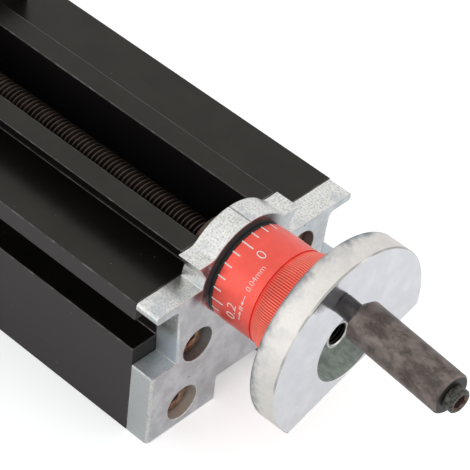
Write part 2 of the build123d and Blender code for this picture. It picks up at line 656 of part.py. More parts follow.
def lead_nut_screws():
    """Two cap screws that hold the nut up against the saddle."""
    head = NUT_SCREW_HEAD_HEIGHT + NUT_SCREW_HEAD_SINK
    seat = SADDLE_TOP_Z - head
    shank = seat - ROOF_Z + NUT_SCREW_REACH - FACE_GAP
    screw = socket_screw(NUT_SCREW_RADIUS, shank, NUT_SCREW_HEAD_RADIUS, NUT_SCREW_HEAD_HEIGHT,
                         NUT_SCREW_SOCKET)
    return Compound([place * Pos(0, 0, -head) * screw for place in nut_screw_places()])


save("bed_rail", bed_rail())
save("front_end_plate", front_end_plate())
save("rear_end_plate", rear_end_plate())
save("front_plate_screws", plate_screws(1))
save("rear_plate_screws", plate_screws(-1))
save("front_bearing_bush", bearing_bush(HALF_BED, PLATE_FACE_X, SCREW_RADIUS + RUNNING_FIT))
save("rear_bearing_bush", bearing_bush(-PLATE_FACE_X, -HALF_BED, REAR_JOURNAL_RADIUS + RUNNING_FIT))
save("thrust_washer", thrust_washer())
save("lead_screw", lead_screw())
save("thrust_collar", thrust_collar())
save("collar_set_screw", collar_set_screw())
save("handwheel", handwheel())
save("wheel_drive_pin", wheel_drive_pin())
save("dial_spring", dial_spring())
save("crank_pin", crank_pin())
save("grip_end_screw", grip_end_screw())
save("graduated_dial", graduated_dial())
save("grip_sleeve", grip_sleeve())
save("saddle_block", saddle_block())
save("gib_strip", gib_strip())
save("gib_screws", gib_screws())
save("gib_lock_nuts", gib_lock_nuts())
save("lead_nut", lead_nut())
save("lead_nut_screws", lead_nut_screws())
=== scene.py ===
"""Looks of the cross slide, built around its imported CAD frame."""

import math
from contextlib import contextmanager
from functools import cache

import bmesh
import bpy
from mathutils import Matrix, Vector


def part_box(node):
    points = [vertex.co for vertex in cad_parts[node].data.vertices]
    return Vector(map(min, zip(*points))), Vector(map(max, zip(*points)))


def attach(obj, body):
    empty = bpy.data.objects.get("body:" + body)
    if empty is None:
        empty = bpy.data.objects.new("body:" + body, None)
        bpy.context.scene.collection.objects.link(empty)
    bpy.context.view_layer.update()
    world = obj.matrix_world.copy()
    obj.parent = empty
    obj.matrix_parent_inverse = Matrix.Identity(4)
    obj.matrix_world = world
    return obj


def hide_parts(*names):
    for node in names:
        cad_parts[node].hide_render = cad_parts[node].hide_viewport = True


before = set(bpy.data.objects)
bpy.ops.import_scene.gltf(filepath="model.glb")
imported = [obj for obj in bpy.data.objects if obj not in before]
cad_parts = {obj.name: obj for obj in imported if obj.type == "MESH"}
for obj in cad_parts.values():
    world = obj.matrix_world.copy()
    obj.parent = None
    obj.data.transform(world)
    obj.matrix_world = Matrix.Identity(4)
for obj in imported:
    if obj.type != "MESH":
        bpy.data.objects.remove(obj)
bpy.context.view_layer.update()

bl_info = {
    "name": "Cross Slide Looks",
    "version": (1, 0, 0),
    "blender": (4, 5, 0),
    "location": "3D View > Sidebar > Slide",
    "description": "Dresses a dovetail cross slide: bed, plates, lead screw, dial, handwheel, crank and "
                   "saddle",
    "category": "Object",
}

MM = 0.001
AXIS_Y = -2.8 * MM
AXIS_Z = 30.0 * MM
ON_AXIS = Matrix.Translation((0, AXIS_Y, AXIS_Z))
PIN_FOOT = Vector((0.1046, -0.0066627, 0.0418882))
PIN_LINE = Vector((0.996709, -0.077101, -0.025052))

# Sizes in millimetres: places on the solids, then the dial and its washer as measured in the photograph
PLATE_FACE = 80.2
PLATE_SIDE = 18.0
HEAD_RADIUS = 11.4
NOTCH_TURN = math.radians(2.0)
NOTCH_REACH = math.radians(2.5)
NOTCH_SHRINK = 0.4
SCREW_PLACES = ((-13.6, 18.2), (-16.2, 5.1), (12.0, 25.7), (16.2, 5.1))
SCREW_SEAT = PLATE_FACE - 4.2
THREAD_ENDS = (-73.9, 75.2)
SCREW_RADIUS = 3.0
SLEEVE_RADIUS = 3.95
PIN_RADIUS = 1.6
PIN_END = 25.7
WHEEL_FACE = 104.6
CAD_DISH_RADIUS = 7.7
DISH_RADIUS = 8.02
FLAT_DISTANCE = 8.4
FLAT_ACROSS = Vector((0.0, math.sin(math.radians(18.0)), -math.cos(math.radians(18.0))))
WASHER_FRONT = 80.95
WASHER_RADIUS = 9.5
DIAL_START = 81.0
DIAL_BORE = 7.1
DRUM_RADIUS = 9.65
KNURL_RADIUS = 10.4
GROOVE_START = DIAL_START + 9.0
KNURL_START = GROOVE_START + 0.35
SWELL_LENGTH = 2.7
SWELL_STEPS = 8
RIB_LIP = 1.0
RIBS = 134

# Stage: name, place, target and size of each lamp, the brightness of the floor to the camera and of the
# surroundings in reflections, then the camera's place and its three directions
LAMPS = (("key", (0.10, -0.42, 0.55), (0.06, 0.0, 0.02), 0.9),
         ("fill", (0.55, 0.25, 0.35), (0.08, 0.0, 0.02), 0.5),
         ("low", (-0.16, -0.50, 0.14), (0.09, 0.0, 0.03), 0.35))
FLOOR_GLOW = 0.36
REFLECTED = 0.88
CAMERA_PLACE = (0.27219, -0.24466, 0.31914)
CAMERA_TURN = Matrix(((0.7207, 0.6874, 0.0897), (-0.5148, 0.444, 0.7334), (0.4643, -0.5747, 0.6739)))

# Node trees: one class for a socket and one for the tree it is in


def math_node(operation, swapped=False):
    """Method of Signal that adds a Math node of this operation."""
    def add(self, other=0.0):
        first, second = (other, self) if swapped else (self, other)
        return self.net.node("ShaderNodeMath", {"operation": operation}, {0: first, 1: second})
    return add


class Signal:
    """A node's output, on which Python's operators add Math nodes."""

    __add__ = math_node("ADD")
    __radd__ = math_node("ADD", True)
    __sub__ = math_node("SUBTRACT")
    __rsub__ = math_node("SUBTRACT", True)
    __mul__ = math_node("MULTIPLY")
    __rmul__ = math_node("MULTIPLY", True)
    __truediv__ = math_node("DIVIDE")
    __pow__ = math_node("POWER")
    __gt__ = math_node("GREATER_THAN")
    smallest = math_node("MINIMUM")
    largest = math_node("MAXIMUM")
    arctan2 = math_node("ARCTAN2")
    absolute = math_node("ABSOLUTE")
    whole = math_node("FLOOR")
    sine = math_node("SINE")
    cosine = math_node("COSINE")

    def __init__(self, net, socket):
        self.net = net
        self.socket = socket

    def ramp(self, low, high):
        """Smooth step from 0 at low to 1 at high."""
        return self.net.node("ShaderNodeMapRange", {"interpolation_type": "SMOOTHSTEP"},
                             {"Value": self, "From Min": low, "From Max": high})

    def between(self, low, high):
        """Smooth step between two lengths in millimetres."""
        return self.ramp(low * MM, high * MM)

    def rings(self, pitch):
        """Waves from 0 to 1, one in each pitch millimetres."""
        return (self * (2 * math.pi / (pitch * MM))).sine() * 0.5 + 0.5


def tint(colour, factor=1.0):
    """A colour made lighter or darker, with its alpha."""
    return (colour[0] * factor, colour[1] * factor, colour[2] * factor, 1.0)


class Net:
    """Adds nodes to the emptied or new node tree of some data."""

    def __init__(self, tree):
        tree.nodes.clear()
        self.tree = tree

    def node(self, kind, settings=None, inputs=None, output=0):
        """New node with its settings, then its socket values or links; gives one of its outputs."""
        node = self.tree.nodes.new(kind)
        for name, value in (settings or {}).items():
            setattr(node, name, value)
        for key, value in (inputs or {}).items():
            if isinstance(value, Signal):
                self.tree.links.new(value.socket, node.inputs[key])
            else:
                node.inputs[key].default_value = value
        return Signal(self, node.outputs[output]) if len(node.outputs) else None

    def mix(self, factor, *colours):
        """Mix of two colours, each a Signal or three numbers."""
        first, second = (c if isinstance(c, Signal) else tint(c) for c in colours)
        return self.node("ShaderNodeMix", {"data_type": "RGBA"}, {0: factor, 6: first, 7: second}, 2)

    def join(self, x, y, z):
        """Vector from three values."""
        return self.node("ShaderNodeCombineXYZ", None, {0: x, 1: y, 2: z})

    def split(self, vector):
        """The three values of a vector."""
        first = self.node("ShaderNodeSeparateXYZ", None, {0: vector})
        return [Signal(self, output) for output in first.socket.node.outputs]


class Paint(Net):
    """Node tree of a material, with the patterns that the finishes share; lengths in millimetres."""

    def place(self, stretch=(1.0, 1.0, 1.0), centre=(0.0, 0.0, 0.0)):
        """Object coordinates, centred and stretched."""
        where = self.node("ShaderNodeTexCoord", None, None, 3)
        return self.node("ShaderNodeMapping", None, {0: where, 1: centre, 3: stretch})

    def grain(self, size, detail=3.0, stretch=(1.0, 1.0, 1.0), rough=0.55, centre=(0.0, 0.0, 0.0)):
        """Noise whose main spots are about this size."""
        return self.node("ShaderNodeTexNoise", None,
                         {"Vector": self.place(stretch, centre), "Scale": 1.0 / (size * MM),
                          "Detail": detail, "Roughness": rough})

    def pits(self, size, depth):
        """Small round spots about size apart: 1 in the middle of a spot."""
        cells = self.node("ShaderNodeTexVoronoi", None, {"Vector": self.place(), "Scale": 1.0 / (size * MM)})
        return cells.ramp(depth, 0.0)

    def facing(self):
        """The three parts of the surface direction, in the piece's own frame."""
        return self.split(self.node("ShaderNodeTexCoord", None, None, 1))

    def spot(self):
        """The three Object coordinates, in metres."""
        return self.split(self.place())

    def from_line(self, y=AXIS_Y / MM, z=AXIS_Z / MM):
        """Distance in metres from a line along X, which is the screw's axis unless y and z are given."""
        spot = self.spot()
        across = spot[1] - y * MM
        up = spot[2] - z * MM
        return (across * across + up * up) ** 0.5

    def shades(self, share, colour, dark, light):
        """A colour between two factors of itself."""
        return self.mix(share, tint(colour, dark), tint(colour, light))

    def coats(self, colour, *coats):
        """A colour under coats of (share, colour), each over the one before."""
        for share, coat in coats:
            colour = self.mix(share, colour, coat)
        return colour

    def surface(self, colour, rough, metallic=0.0, height=None, depth=0.0, strength=0.4, **sockets):
        """Principled surface on the material's output, with a bump where a height is given."""
        values = {"Base Color": colour, "Roughness": rough, "Metallic": metallic}
        values.update({name.replace("_", " "): value for name, value in sockets.items()})
        if height is not None:
            values["Normal"] = self.node("ShaderNodeBump", None, {
                "Strength": strength, "Distance": depth * MM, "Height": height})
        shader = self.node("ShaderNodeBsdfPrincipled", None, values)
        self.node("ShaderNodeOutputMaterial", None, {"Surface": shader})


FINISHES = {}


def finish(function):
    """Register a function that paints the finish of its own name."""
    FINISHES[function.__name__] = function
    return function


@cache
def material(name):
    """The material of a finish, made at its first use."""
    made = bpy.data.materials.new(name + "_look")
    made.use_nodes = True
    FINISHES[name](Paint(made.node_tree), bpy.context.scene.slide_colours)
    return made


@finish
def black_anodised(paint, colours):
    """Satin black with faint extrusion lines along the bed and a few specks of dust; its upright sides
    painted lighter.
    """
    lines = paint.grain(0.25, 4.0, (0.02, 1.0, 1.0))
    cloud = paint.grain(7.0, 4.0)
    side = paint.facing()[1].absolute().ramp(0.8, 0.98)
    dust = paint.pits(4.5, 0.035) * paint.grain(0.12, 2.0).ramp(0.4, 0.5)
    colour = paint.coats(
        paint.shades(cloud.ramp(0.35, 0.7) * 0.5 + lines * 0.4, colours.bed, 0.9, 1.15),
        # Painted light: upright sides take a lighter copy of the bed's colour.
        (side * 0.75, colours.bed_side_painted_light), (dust * 0.7, (0.6, 0.58, 0.55)))
    rough = 0.22 + lines * 0.1 + cloud * 0.06 + side * 0.06
    paint.surface(colour, rough, 0.94 - dust * 0.9, lines, 0.012)


@finish
def black_edge(paint, colours):
    """Edge of the black anodising, rubbed a little thinner in places."""
    worn = paint.grain(2.5, 4.0, rough=0.6).ramp(0.4, 0.75)
    colour = paint.coats(tint(colours.bed, 1.5), (worn, (0.15, 0.145, 0.14)))
    paint.surface(colour, 0.36 - worn * 0.06, 0.9)


@finish
def cast_plate(paint, colours):
    """Bright die-casting: speckled on its sides, ground smooth on the faces across the screw, with light and
    shade painted on in places.
    """
    x, y, z = paint.spot()
    facing = paint.facing()
    face = facing[0].absolute().ramp(0.85, 0.97)
    upright = facing[1].absolute().ramp(0.9, 0.98)
    upward = facing[2].ramp(0.6, 0.95)
    cloud = paint.grain(3.4, 5.0, rough=0.62)
    blue = paint.grain(3.8, 5.0, rough=0.58).ramp(0.5, 0.68)
    speckle = paint.grain(0.36, rough=0.72)
    scratch = paint.grain(0.22, stretch=(1.0, 1.0, 0.05))
    pit = paint.pits(1.3, 0.12) * speckle.ramp(0.48, 0.56)
    radius = paint.from_line()
    # Painted shade and painted reflection: a near-black band on the front face beside the dial, and a patch
    # at the bar's corner, standing in for the shaded gap under the dial and the dial's dark reflection.
    dial_shade_painted = radius.between(11.5, 10.9) * z.between(27, 30) * y.between(6, 2)
    corner = radius.between(15, 12.5) * z.between(28, 31) * y.between(-12, -13.5)
    dial_shade_painted = dial_shade_painted.largest(corner * 0.9) * facing[0].ramp(0.85, 0.97) * (x > 0.0)
    # Painted light and shade by zone on the sides: the waist's lower part lighter, the shoulder a lighter
    # blue-grey as a painted reflection, the block's upright sides darker.
    low = z.between(24, 21) * (1.0 - face)
    shoulder = low * z.between(16, 16.4)
    block = z.between(16.4, 15.8)
    # Painted shade in the counterbores: their walls darker than the casting, darkest in the upper holes.
    bore = 1.0
    for across, up in SCREW_PLACES:
        bore = paint.from_line(across, up).smallest(bore)
    bore = bore.between(4.0, 3.8) * (1.0 - face)
    bore_shade = paint.mix(z.between(12, 9), (0.22, 0.225, 0.215), (0.62, 0.59, 0.53))
    side = paint.coats(
        paint.shades(speckle.ramp(0.35, 0.57), colours.casting, 0.78, 1.28),
        # Painted shade: faces that don't look up are darker.
        ((1.0 - upward) * 0.4, tint(colours.casting, 0.8)),
        # Random blue-grey clouds, plus a little more on sideways faces as a painted reflection.
        (blue * 0.42 + upright * 0.12, colours.cloud),
        (cloud.ramp(0.52, 0.72) * 0.3, tint(colours.casting, 0.7)),
        (pit * 0.6, (0.16, 0.17, 0.17)),
        # Painted reflection on the shoulder, painted light on the waist's lower part, painted shade on the
        # block's upright sides.
        (shoulder * 0.6, tint(colours.cloud, 1.15)),
        (low * (1.0 - block) * (1.0 - shoulder) * 0.6, tint(colours.ground_face, 1.35)),
        (block * upright * 0.7, tint(colours.ground_face, 0.78)),
        (bore * 0.85, bore_shade))
    ground = paint.coats(
        paint.shades(cloud.ramp(0.38, 0.66), colours.ground_face, 0.86, 1.1),
        # The near-black painted shade beside the dial.
        (blue * 0.22, tint(colours.cloud, 1.1)), (dial_shade_painted * 0.93, (0.035, 0.03, 0.03)))
    colour = paint.coats(side, (face, ground), (paint.pits(5.0, 0.07) * 0.8, (0.05, 0.05, 0.05)))
    rough_side = 0.2 + speckle * 0.22 + low * 0.04 + bore * 0.1
    rough_face = 0.1 + cloud * 0.14 + scratch * 0.05
    # Less metallic under the painted shade beside the dial, in the counterbores and on the waist's lower
    # part.
    metallic = 0.95 - dial_shade_painted * 0.7 - bore * 0.4 - low * (1.0 - block) * 0.3
    height = (speckle * 0.5 + cloud * 2.0 - pit) * (1.0 - face) + (scratch * 0.1 + cloud * 0.5) * face
    paint.surface(colour, rough_side + (rough_face - rough_side) * face, metallic, height, 0.06)


@finish
def cast_edge(paint, colours):
    """Rounded edge of a casting, rubbed brighter."""
    rub = paint.grain(0.8, 4.0, rough=0.7)
    paint.surface(paint.shades(rub.ramp(0.35, 0.65), colours.casting, 0.82, 1.15), 0.34 + rub * 0.16, 0.8)


@finish
def plated_wheel(paint, colours):
    """Handwheel: fine turning rings on the face, mottled plating on the rim, dull dish; painted shade in the
    dish and a painted reflection at the rim's back edge.
    """
    x = paint.spot()[0]
    radius = paint.from_line()
    face = paint.facing()[0].ramp(0.8, 0.95)
    dish = radius.between(8.1, 7.95)
    cloud = paint.grain(4.0, 5.0, rough=0.65)
    speckle = paint.grain(0.45, rough=0.75)
    ragged = paint.grain(1.6, 5.0, rough=0.75)
    pit = paint.pits(1.3, 0.15) * speckle.ramp(0.48, 0.58)
    # Painted reflection: a ragged dark blue-grey strip along the rim's back edge with paler blotches beside
    # it, strongest inside a large patch, standing in for the dial's shade seen in the rim.
    reflection_patch = paint.grain(9.0, centre=(0.004, 0.0, 0.0)).ramp(0.42, 0.6)
    back = (x + (ragged - 0.5) * (4.0 * MM)).between(101.0, 98.9)
    bloom = reflection_patch * x.between(102.6, 101.0) * cloud.ramp(0.48, 0.6)
    edge_line = x.between(104.1, 104.3) * (1.0 - reflection_patch)
    rim = paint.coats(
        paint.shades(speckle.ramp(0.3, 0.7), colours.rim, 0.95, 1.03),
        (cloud.ramp(0.45, 0.7) * 0.5, tint(colours.rim, 0.82)),
        (pit * 0.3, (0.25, 0.25, 0.25)),
        (back * (0.2 + reflection_patch * 0.65), tint(colours.cloud, 0.4)),
        (bloom * 0.3, colours.cloud),
        (edge_line * 0.55, (0.16, 0.15, 0.14)))
    plain = paint.shades(cloud.ramp(0.4, 0.7), colours.wheel, 0.95, 1.05)
    streak = paint.grain(1.5, 4.0, (0.6, 1.0, 1.0), 0.7)
    # Painted shade: the dish's floor is a darker green-grey than the face.
    inside = paint.mix(streak.ramp(0.3, 0.7), (0.32, 0.36, 0.335), (0.55, 0.59, 0.55))
    colour = paint.coats(rim, (face, plain), (dish * 0.92, inside))
    rough = 0.44 + speckle * 0.16 - face * (0.32 + speckle * 0.12) + dish * 0.2
    height = radius.rings(0.16) * face * 0.2 + (speckle * 0.5 + cloud * 1.5 - pit) * (1.0 - face)
    paint.surface(colour, rough, 0.93, height, 0.03)


@finish
def plated_edge(paint, colours):
    """Rounded edge of the handwheel."""
    rub = paint.grain(0.7, 4.0)
    paint.surface(paint.shades(rub, colours.wheel, 0.92, 1.15), 0.2 + rub * 0.16, 0.95)


@finish
def red_anodised(paint, colours):
    """Red anodising over turned aluminium, with painted highlights on the ribs' crests and painted shade
    between them.
    """
    x, y, z = paint.spot()
    turning = paint.grain(0.1, 2.0, (1.0, 0.04, 0.04))
    crest = ((y - AXIS_Y).arctan2(z - AXIS_Z) * float(RIBS)).cosine().ramp(-0.9, 0.1)
    band = x.between(KNURL_START, GROOVE_START + 1.2) * x.between(97.6, 97.3)
    colour = paint.coats(
        paint.shades(paint.grain(5.0).ramp(0.3, 0.7), colours.dial, 0.9, 1.08),
        # Painted shade between the ribs and painted highlights on their crests.
        (band * (1.0 - crest) * 0.55, tint(colours.dial, 0.45)),
        (band * crest * 0.45, (1.0, 0.30, 0.20)))
    paint.surface(colour, 0.3 + turning * 0.14, 0.55, turning, 0.006, Coat_Weight=0.28, Coat_Roughness=0.25)


@finish
def dial_marks(paint, colours):
    """White filling of the ticks and numerals, a little uneven."""
    wear = paint.grain(0.25)
    paint.surface(paint.shades(wear.ramp(0.3, 0.7), colours.marks, 0.86, 1.0), 0.5 + wear * 0.1)


@finish
def lead_screw_steel(paint, colours):
    """Dark oiled thread with brighter rubbed crests."""
    crest = paint.from_line().between(2.9, 2.98)
    fine = paint.grain(0.2)
    dark = paint.shades(paint.grain(2.5, 4.0).ramp(0.35, 0.65), colours.thread, 0.25, 0.6)
    colour = paint.coats(dark, (crest * (0.2 + fine * 0.5), (0.16, 0.12, 0.095)))
    paint.surface(colour, 0.34 + fine * 0.2, 0.9)


@finish
def screw_end_steel(paint, colours):
    """Bright turned end of the lead screw."""
    fine = paint.grain(0.3)
    colour = paint.mix(fine, (0.52, 0.51, 0.49), (0.68, 0.67, 0.64))
    paint.surface(colour, 0.24 + fine * 0.14, 0.95, paint.from_line().rings(0.12), 0.01)


@finish
def hole_steel(paint, colours):
    """Thread inside the screw's end: painted near-black as the hole's shade, with painted glints on its
    crests.
    """
    crest = paint.from_line().between(2.2, 2.13)
    # Painted shade: near-black in the hole, with painted glints on the crests.
    colour = paint.mix(crest * 0.5, (0.006, 0.005, 0.005), (0.12, 0.11, 0.10))
    paint.surface(colour, 0.3 + paint.grain(0.8) * 0.2, 0.8)


@finish
def dark_steel(paint, colours):
    """Dark oiled steel."""
    colour = paint.shades(paint.grain(1.5, 4.0), colours.thread, 0.7, 1.8)
    paint.surface(colour, 0.3 + paint.grain(0.15, 2.0) * 0.2, 0.85)


@finish
def black_oxide(paint, colours):
    """Near-black oxide, a little mottled."""
    cloud = paint.grain(1.6, 5.0, rough=0.65)
    streak = paint.grain(0.3, stretch=(0.25, 1.0, 1.0))
    colour = paint.mix(cloud.ramp(0.3, 0.72), (0.038, 0.036, 0.036), (0.075, 0.07, 0.069))
    colour = paint.coats(colour, (streak.ramp(0.6, 0.8) * 0.25, (0.16, 0.15, 0.148)))
    paint.surface(colour, 0.22 + cloud * 0.16, 0.85, streak, 0.01, 0.35)


@finish
def grip_oxide(paint, colours):
    """The grip's oxide: browned along its length, with painted shade making its end face almost black."""
    cloud = paint.grain(2.4, 5.0, (0.75, 1.0, 1.0), 0.68)
    band = paint.grain(3.2, 3.0, (0.3, 1.0, 1.0), 0.6)
    scuff = paint.grain(0.5, 4.0, (0.35, 1.0, 1.0), 0.6)
    end = paint.facing()[0].ramp(0.93, 0.99)
    colour = paint.coats(
        paint.shades(cloud.ramp(0.36, 0.64), colours.oxide, 0.85, 2.2),
        (band.ramp(0.48, 0.68) * 0.45, tint(colours.oxide, 0.6)),
        (scuff.ramp(0.56, 0.74) * 0.28, (0.23, 0.20, 0.175)),
        (paint.pits(3.2, 0.05) * 0.8, (0.5, 0.42, 0.22)),
        # Painted shade: the end face is near-black.
        (end * 0.92, (0.008, 0.007, 0.007)))
    paint.surface(colour, 0.36 + cloud * 0.16, 0.8 - end * 0.6, scuff, 0.012, 0.35)


@finish
def rusty_screw(paint, colours):
    """Blackened screw with rust in its socket."""
    cloud = paint.grain(0.7, 4.0, rough=0.65)
    rust = paint.from_line(-8.7, 41.2).between(1.7, 1.3) * paint.grain(0.4).ramp(0.35, 0.6)
    colour = paint.mix(cloud.ramp(0.4, 0.62), (0.028, 0.028, 0.024), (0.13, 0.125, 0.11))
    paint.surface(paint.coats(colour, (rust * 0.6, (0.24, 0.10, 0.06))), 0.34 + cloud * 0.2, 0.7)


@finish
def index_dirt(paint, colours):
    """Dark line in the index notch."""
    fine = paint.grain(0.3)
    colour = paint.mix(fine.ramp(0.4, 0.6), (0.012, 0.010, 0.009), (0.06, 0.05, 0.045))
    paint.surface(colour, 0.7 + fine * 0.1)


@finish
def browned_screw(paint, colours):
    """Plate screws with a brown, coppery tone."""
    colour = paint.shades(paint.grain(0.9, 4.0).ramp(0.3, 0.7), colours.browned, 0.6, 1.4)
    paint.surface(colour, 0.26 + paint.grain(0.15, 2.0) * 0.18, 0.9)


@finish
def rubbed_screw(paint, colours):
    """Edges of the plate screws: rubbed bright metal, lightened further as painted glints."""
    fine = paint.grain(0.3)
    colour = paint.mix(fine.ramp(0.35, 0.65), (0.55, 0.49, 0.44), (0.9, 0.87, 0.83))
    paint.surface(colour, 0.18 + fine * 0.1, 0.95)


@finish
def screw_steel(paint, colours):
    """Plain steel of the small screws, nuts and pins."""
    colour = paint.mix(paint.grain(0.8, 4.0), (0.30, 0.29, 0.28), (0.50, 0.49, 0.47))
    paint.surface(colour, 0.26 + paint.grain(0.1, 2.0) * 0.18, 0.92)


@finish
def bronze(paint, colours):
    """Machined bronze, a little dulled."""
    tool = paint.grain(0.15, 2.0, (0.1, 1.0, 1.0))
    colour = paint.shades(paint.grain(1.5, 4.0).ramp(0.3, 0.7), colours.bronze, 0.75, 1.15)
    paint.surface(colour, 0.28 + tool * 0.16, 0.95, tool, 0.01)


@finish
def black_washer(paint, colours):
    """Matt black washer with a few pale specks of dust."""
    fine = paint.grain(0.3)
    colour = paint.mix(fine, (0.008, 0.008, 0.008), (0.02, 0.02, 0.02))
    paint.surface(paint.coats(colour, (paint.pits(0.9, 0.1) * 0.25, (0.35, 0.35, 0.33))), 0.42 + fine * 0.2)


# Meshes


def new_piece(name, data):
    """Object with this mesh or other data, in the scene."""
    piece = bpy.data.objects.new(name, data)
    bpy.context.scene.collection.objects.link(piece)
    return piece


@contextmanager
def editing(mesh, source=None):
    """The source's shape, or the mesh's own, to be changed and then written to the mesh."""
    shape = bmesh.new()
    shape.from_mesh(source or mesh)
    yield shape
    shape.to_mesh(mesh)
    shape.free()


def raw_mesh(name, points, faces=()):
    """Mesh from points in metres."""
    mesh = bpy.data.meshes.new(name)
    mesh.from_pydata([tuple(point) for point in points], [], faces)
    return mesh


def painted(mesh, finishes):
    """The mesh with these finishes alone."""
    mesh.materials.clear()
    for name in finishes:
        mesh.materials.append(material(name))
    return mesh


def plain_mesh(name, points, faces, *finishes):
    """Mesh from points in metres, with its doubles merged and its normals outward."""
    mesh = raw_mesh(name, points, faces)
    with editing(mesh) as shape:
        bmesh.ops.remove_doubles(shape, verts=shape.verts, dist=1e-7)
        bmesh.ops.recalc_face_normals(shape, faces=shape.faces)
    return painted(mesh, finishes)


def box_mesh(name, points, *finishes):
    """Mesh of a box from its eight corners: the first two values of each of three directions in turn."""
    faces = [(0, 1, 3, 2), (4, 6, 7, 5), (0, 4, 5, 1), (2, 3, 7, 6), (0, 2, 6, 4), (1, 5, 7, 3)]
    return plain_mesh(name, points, faces, *finishes)


def soften(mesh, angle=30.0):
    """Smooth shading that stays crisp at edges sharper than the angle."""
    for face in mesh.polygons:
        face.use_smooth = True
    mesh.set_sharp_from_angle(angle=math.radians(angle))
    return mesh


def freeze(piece):
    """Turn a piece's modifiers into plain mesh."""
    graph = bpy.context.evaluated_depsgraph_get()
    graph.update()
    mesh = bpy.data.meshes.new_from_object(piece.evaluated_get(graph), preserve_all_data_layers=True,
                                           depsgraph=graph)
    piece.modifiers.clear()
    piece.data = mesh
    return piece


def round_edges(piece, rounding, angle=30.0, segments=2, edge_material=-1):
    """Rounded edges as plain mesh. Rounding is one width, or gives the width from an edge's two ends."""
    with editing(soften(piece.data, angle)) as shape:
        weight = shape.edges.layers.float.new("bevel_weight_edge")
        for edge in shape.edges:
            if len(edge.link_faces) == 2 and edge.calc_face_angle(0.0) > math.radians(angle):
                ends = [vert.co for vert in edge.verts]
                edge[weight] = rounding(*ends) if callable(rounding) else rounding
    bevel = piece.modifiers.new("Rounded edges", "BEVEL")
    bevel.width = MM
    bevel.segments = segments
    bevel.limit_method = "WEIGHT"
    bevel.use_clamp_overlap = False
    bevel.harden_normals = True
    bevel.material = edge_material
    return freeze(piece)


def merged_copy(node, *finishes):
    """Copy of a CAD node's mesh, merged, with flat faces joined."""
    name = node + "_dressed"
    mesh = bpy.data.meshes.new(name)
    with editing(mesh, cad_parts[node].data) as shape:
        bmesh.ops.remove_doubles(shape, verts=shape.verts, dist=1e-6)
        bmesh.ops.dissolve_limit(shape, angle_limit=math.radians(0.4), verts=shape.verts, edges=shape.edges)
    if "custom_normal" in mesh.attributes:
        mesh.attributes.remove(mesh.attributes["custom_normal"])
    for face in painted(mesh, finishes).polygons:
        face.material_index = 0
    return new_piece(name, mesh)


def seat(piece, body, slot_name, *nodes):
    """Let a finished piece ride on its body and stand for its nodes; the slot name is not used."""
    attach(piece, body)
    if nodes:
        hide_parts(*nodes)


def dressed(node, body, slot_name, rounding, *edge_finish):
    """CAD node shown as a copy with rounded edges, in the finish of its slot's name."""
    piece = merged_copy(node, slot_name, *edge_finish)
    seat(round_edges(piece, rounding, edge_material=len(edge_finish)), body, slot_name, node)


def from_axis(spot):
    """A place's y and z from the screw's axis, and its distance from it, in metres."""
    y = spot.y - AXIS_Y
    z = spot.z - AXIS_Z
    return y, z, math.hypot(y, z)


def around(x, radius, turn):
    """Place in metres at this x and radius in millimetres, turned about X from +Z towards -Y."""
    return Vector((x, -radius * math.sin(turn), radius * math.cos(turn))) * MM


def plate_rounding(first, second):
    """Rounding of a plate's edge: broad down the sides of its face, narrow elsewhere."""
    on_face = min(abs(first.x), abs(second.x)) > (PLATE_FACE - 0.05) * MM
    upright = abs(first.z - second.z) > 5 * MM and min(abs(first.y), abs(second.y)) > PLATE_SIDE * MM
    if on_face and upright:
        return 0.8
    if on_face and max(first.z, second.z) < 0.01 * MM:
        return 0.6
    return 0.16


def wheel_rounding(first, second):
    """Rounding of the wheel's edges: only round its flat and its dish, since the rim is round already."""
    ends = (first, second)
    if min((FLAT_ACROSS @ (spot - ON_AXIS.translation)) / MM for spot in ends) > FLAT_DISTANCE - 0.02:
        return 0.2
    on_face = min(first.x, second.x) > (WHEEL_FACE - 0.02) * MM
    if on_face and max(from_axis(spot)[2] for spot in ends) / MM < DISH_RADIUS + 0.1:
        return 0.12
    return 0.0


def turned(name, profile, finish_name, place=ON_AXIS, steps=96):
    """Closed ring or rod turned about the local X axis from (x, radius) points in millimetres."""
    points = [place @ around(x, radius, 2 * math.pi * step / steps)
              for step in range(steps) for x, radius in profile]
    count = len(profile)
    faces = []
    for step in range(steps):
        here = step * count
        there = (step + 1) % steps * count
        for i in range(count):
            j = (i + 1) % count
            faces.append((here + i, here + j, there + j, there + i))
    return new_piece(name, soften(plain_mesh(name, points, faces, finish_name)))


def rounded(profile, radius):
    """Closed (x, radius) profile with each corner off the axis cut round."""
    result = []
    for i, corner in enumerate(profile):
        here = Vector(corner)
        before = Vector(profile[i - 1]) - here
        after = Vector(profile[(i + 1) % len(profile)]) - here
        if here.y < 1e-6 or min(before.length, after.length) < 1e-6:
            result.append(corner)
            continue
        reach = min(radius, before.length * 0.45, after.length * 0.45)
        start = here + before.normalized() * reach
        end = here + after.normalized() * reach
        for t in (0, 1 / 3, 2 / 3, 1):
            result.append(tuple((1 - t) ** 2 * start + 2 * t * (1 - t) * here + t * t * end))
    return result


def pin_place():
    """Frame of the leaning crank pin: local X along it, origin in the wheel's face."""
    line = PIN_LINE.normalized()
    side = line.cross(Vector((0, 0, 1))).normalized()
    up = side.cross(line).normalized()
    turn = Matrix((line, up.cross(line).normalized(), up)).transposed()
    return Matrix.Translation(PIN_FOOT) @ turn.to_4x4()


# Geometry node trees


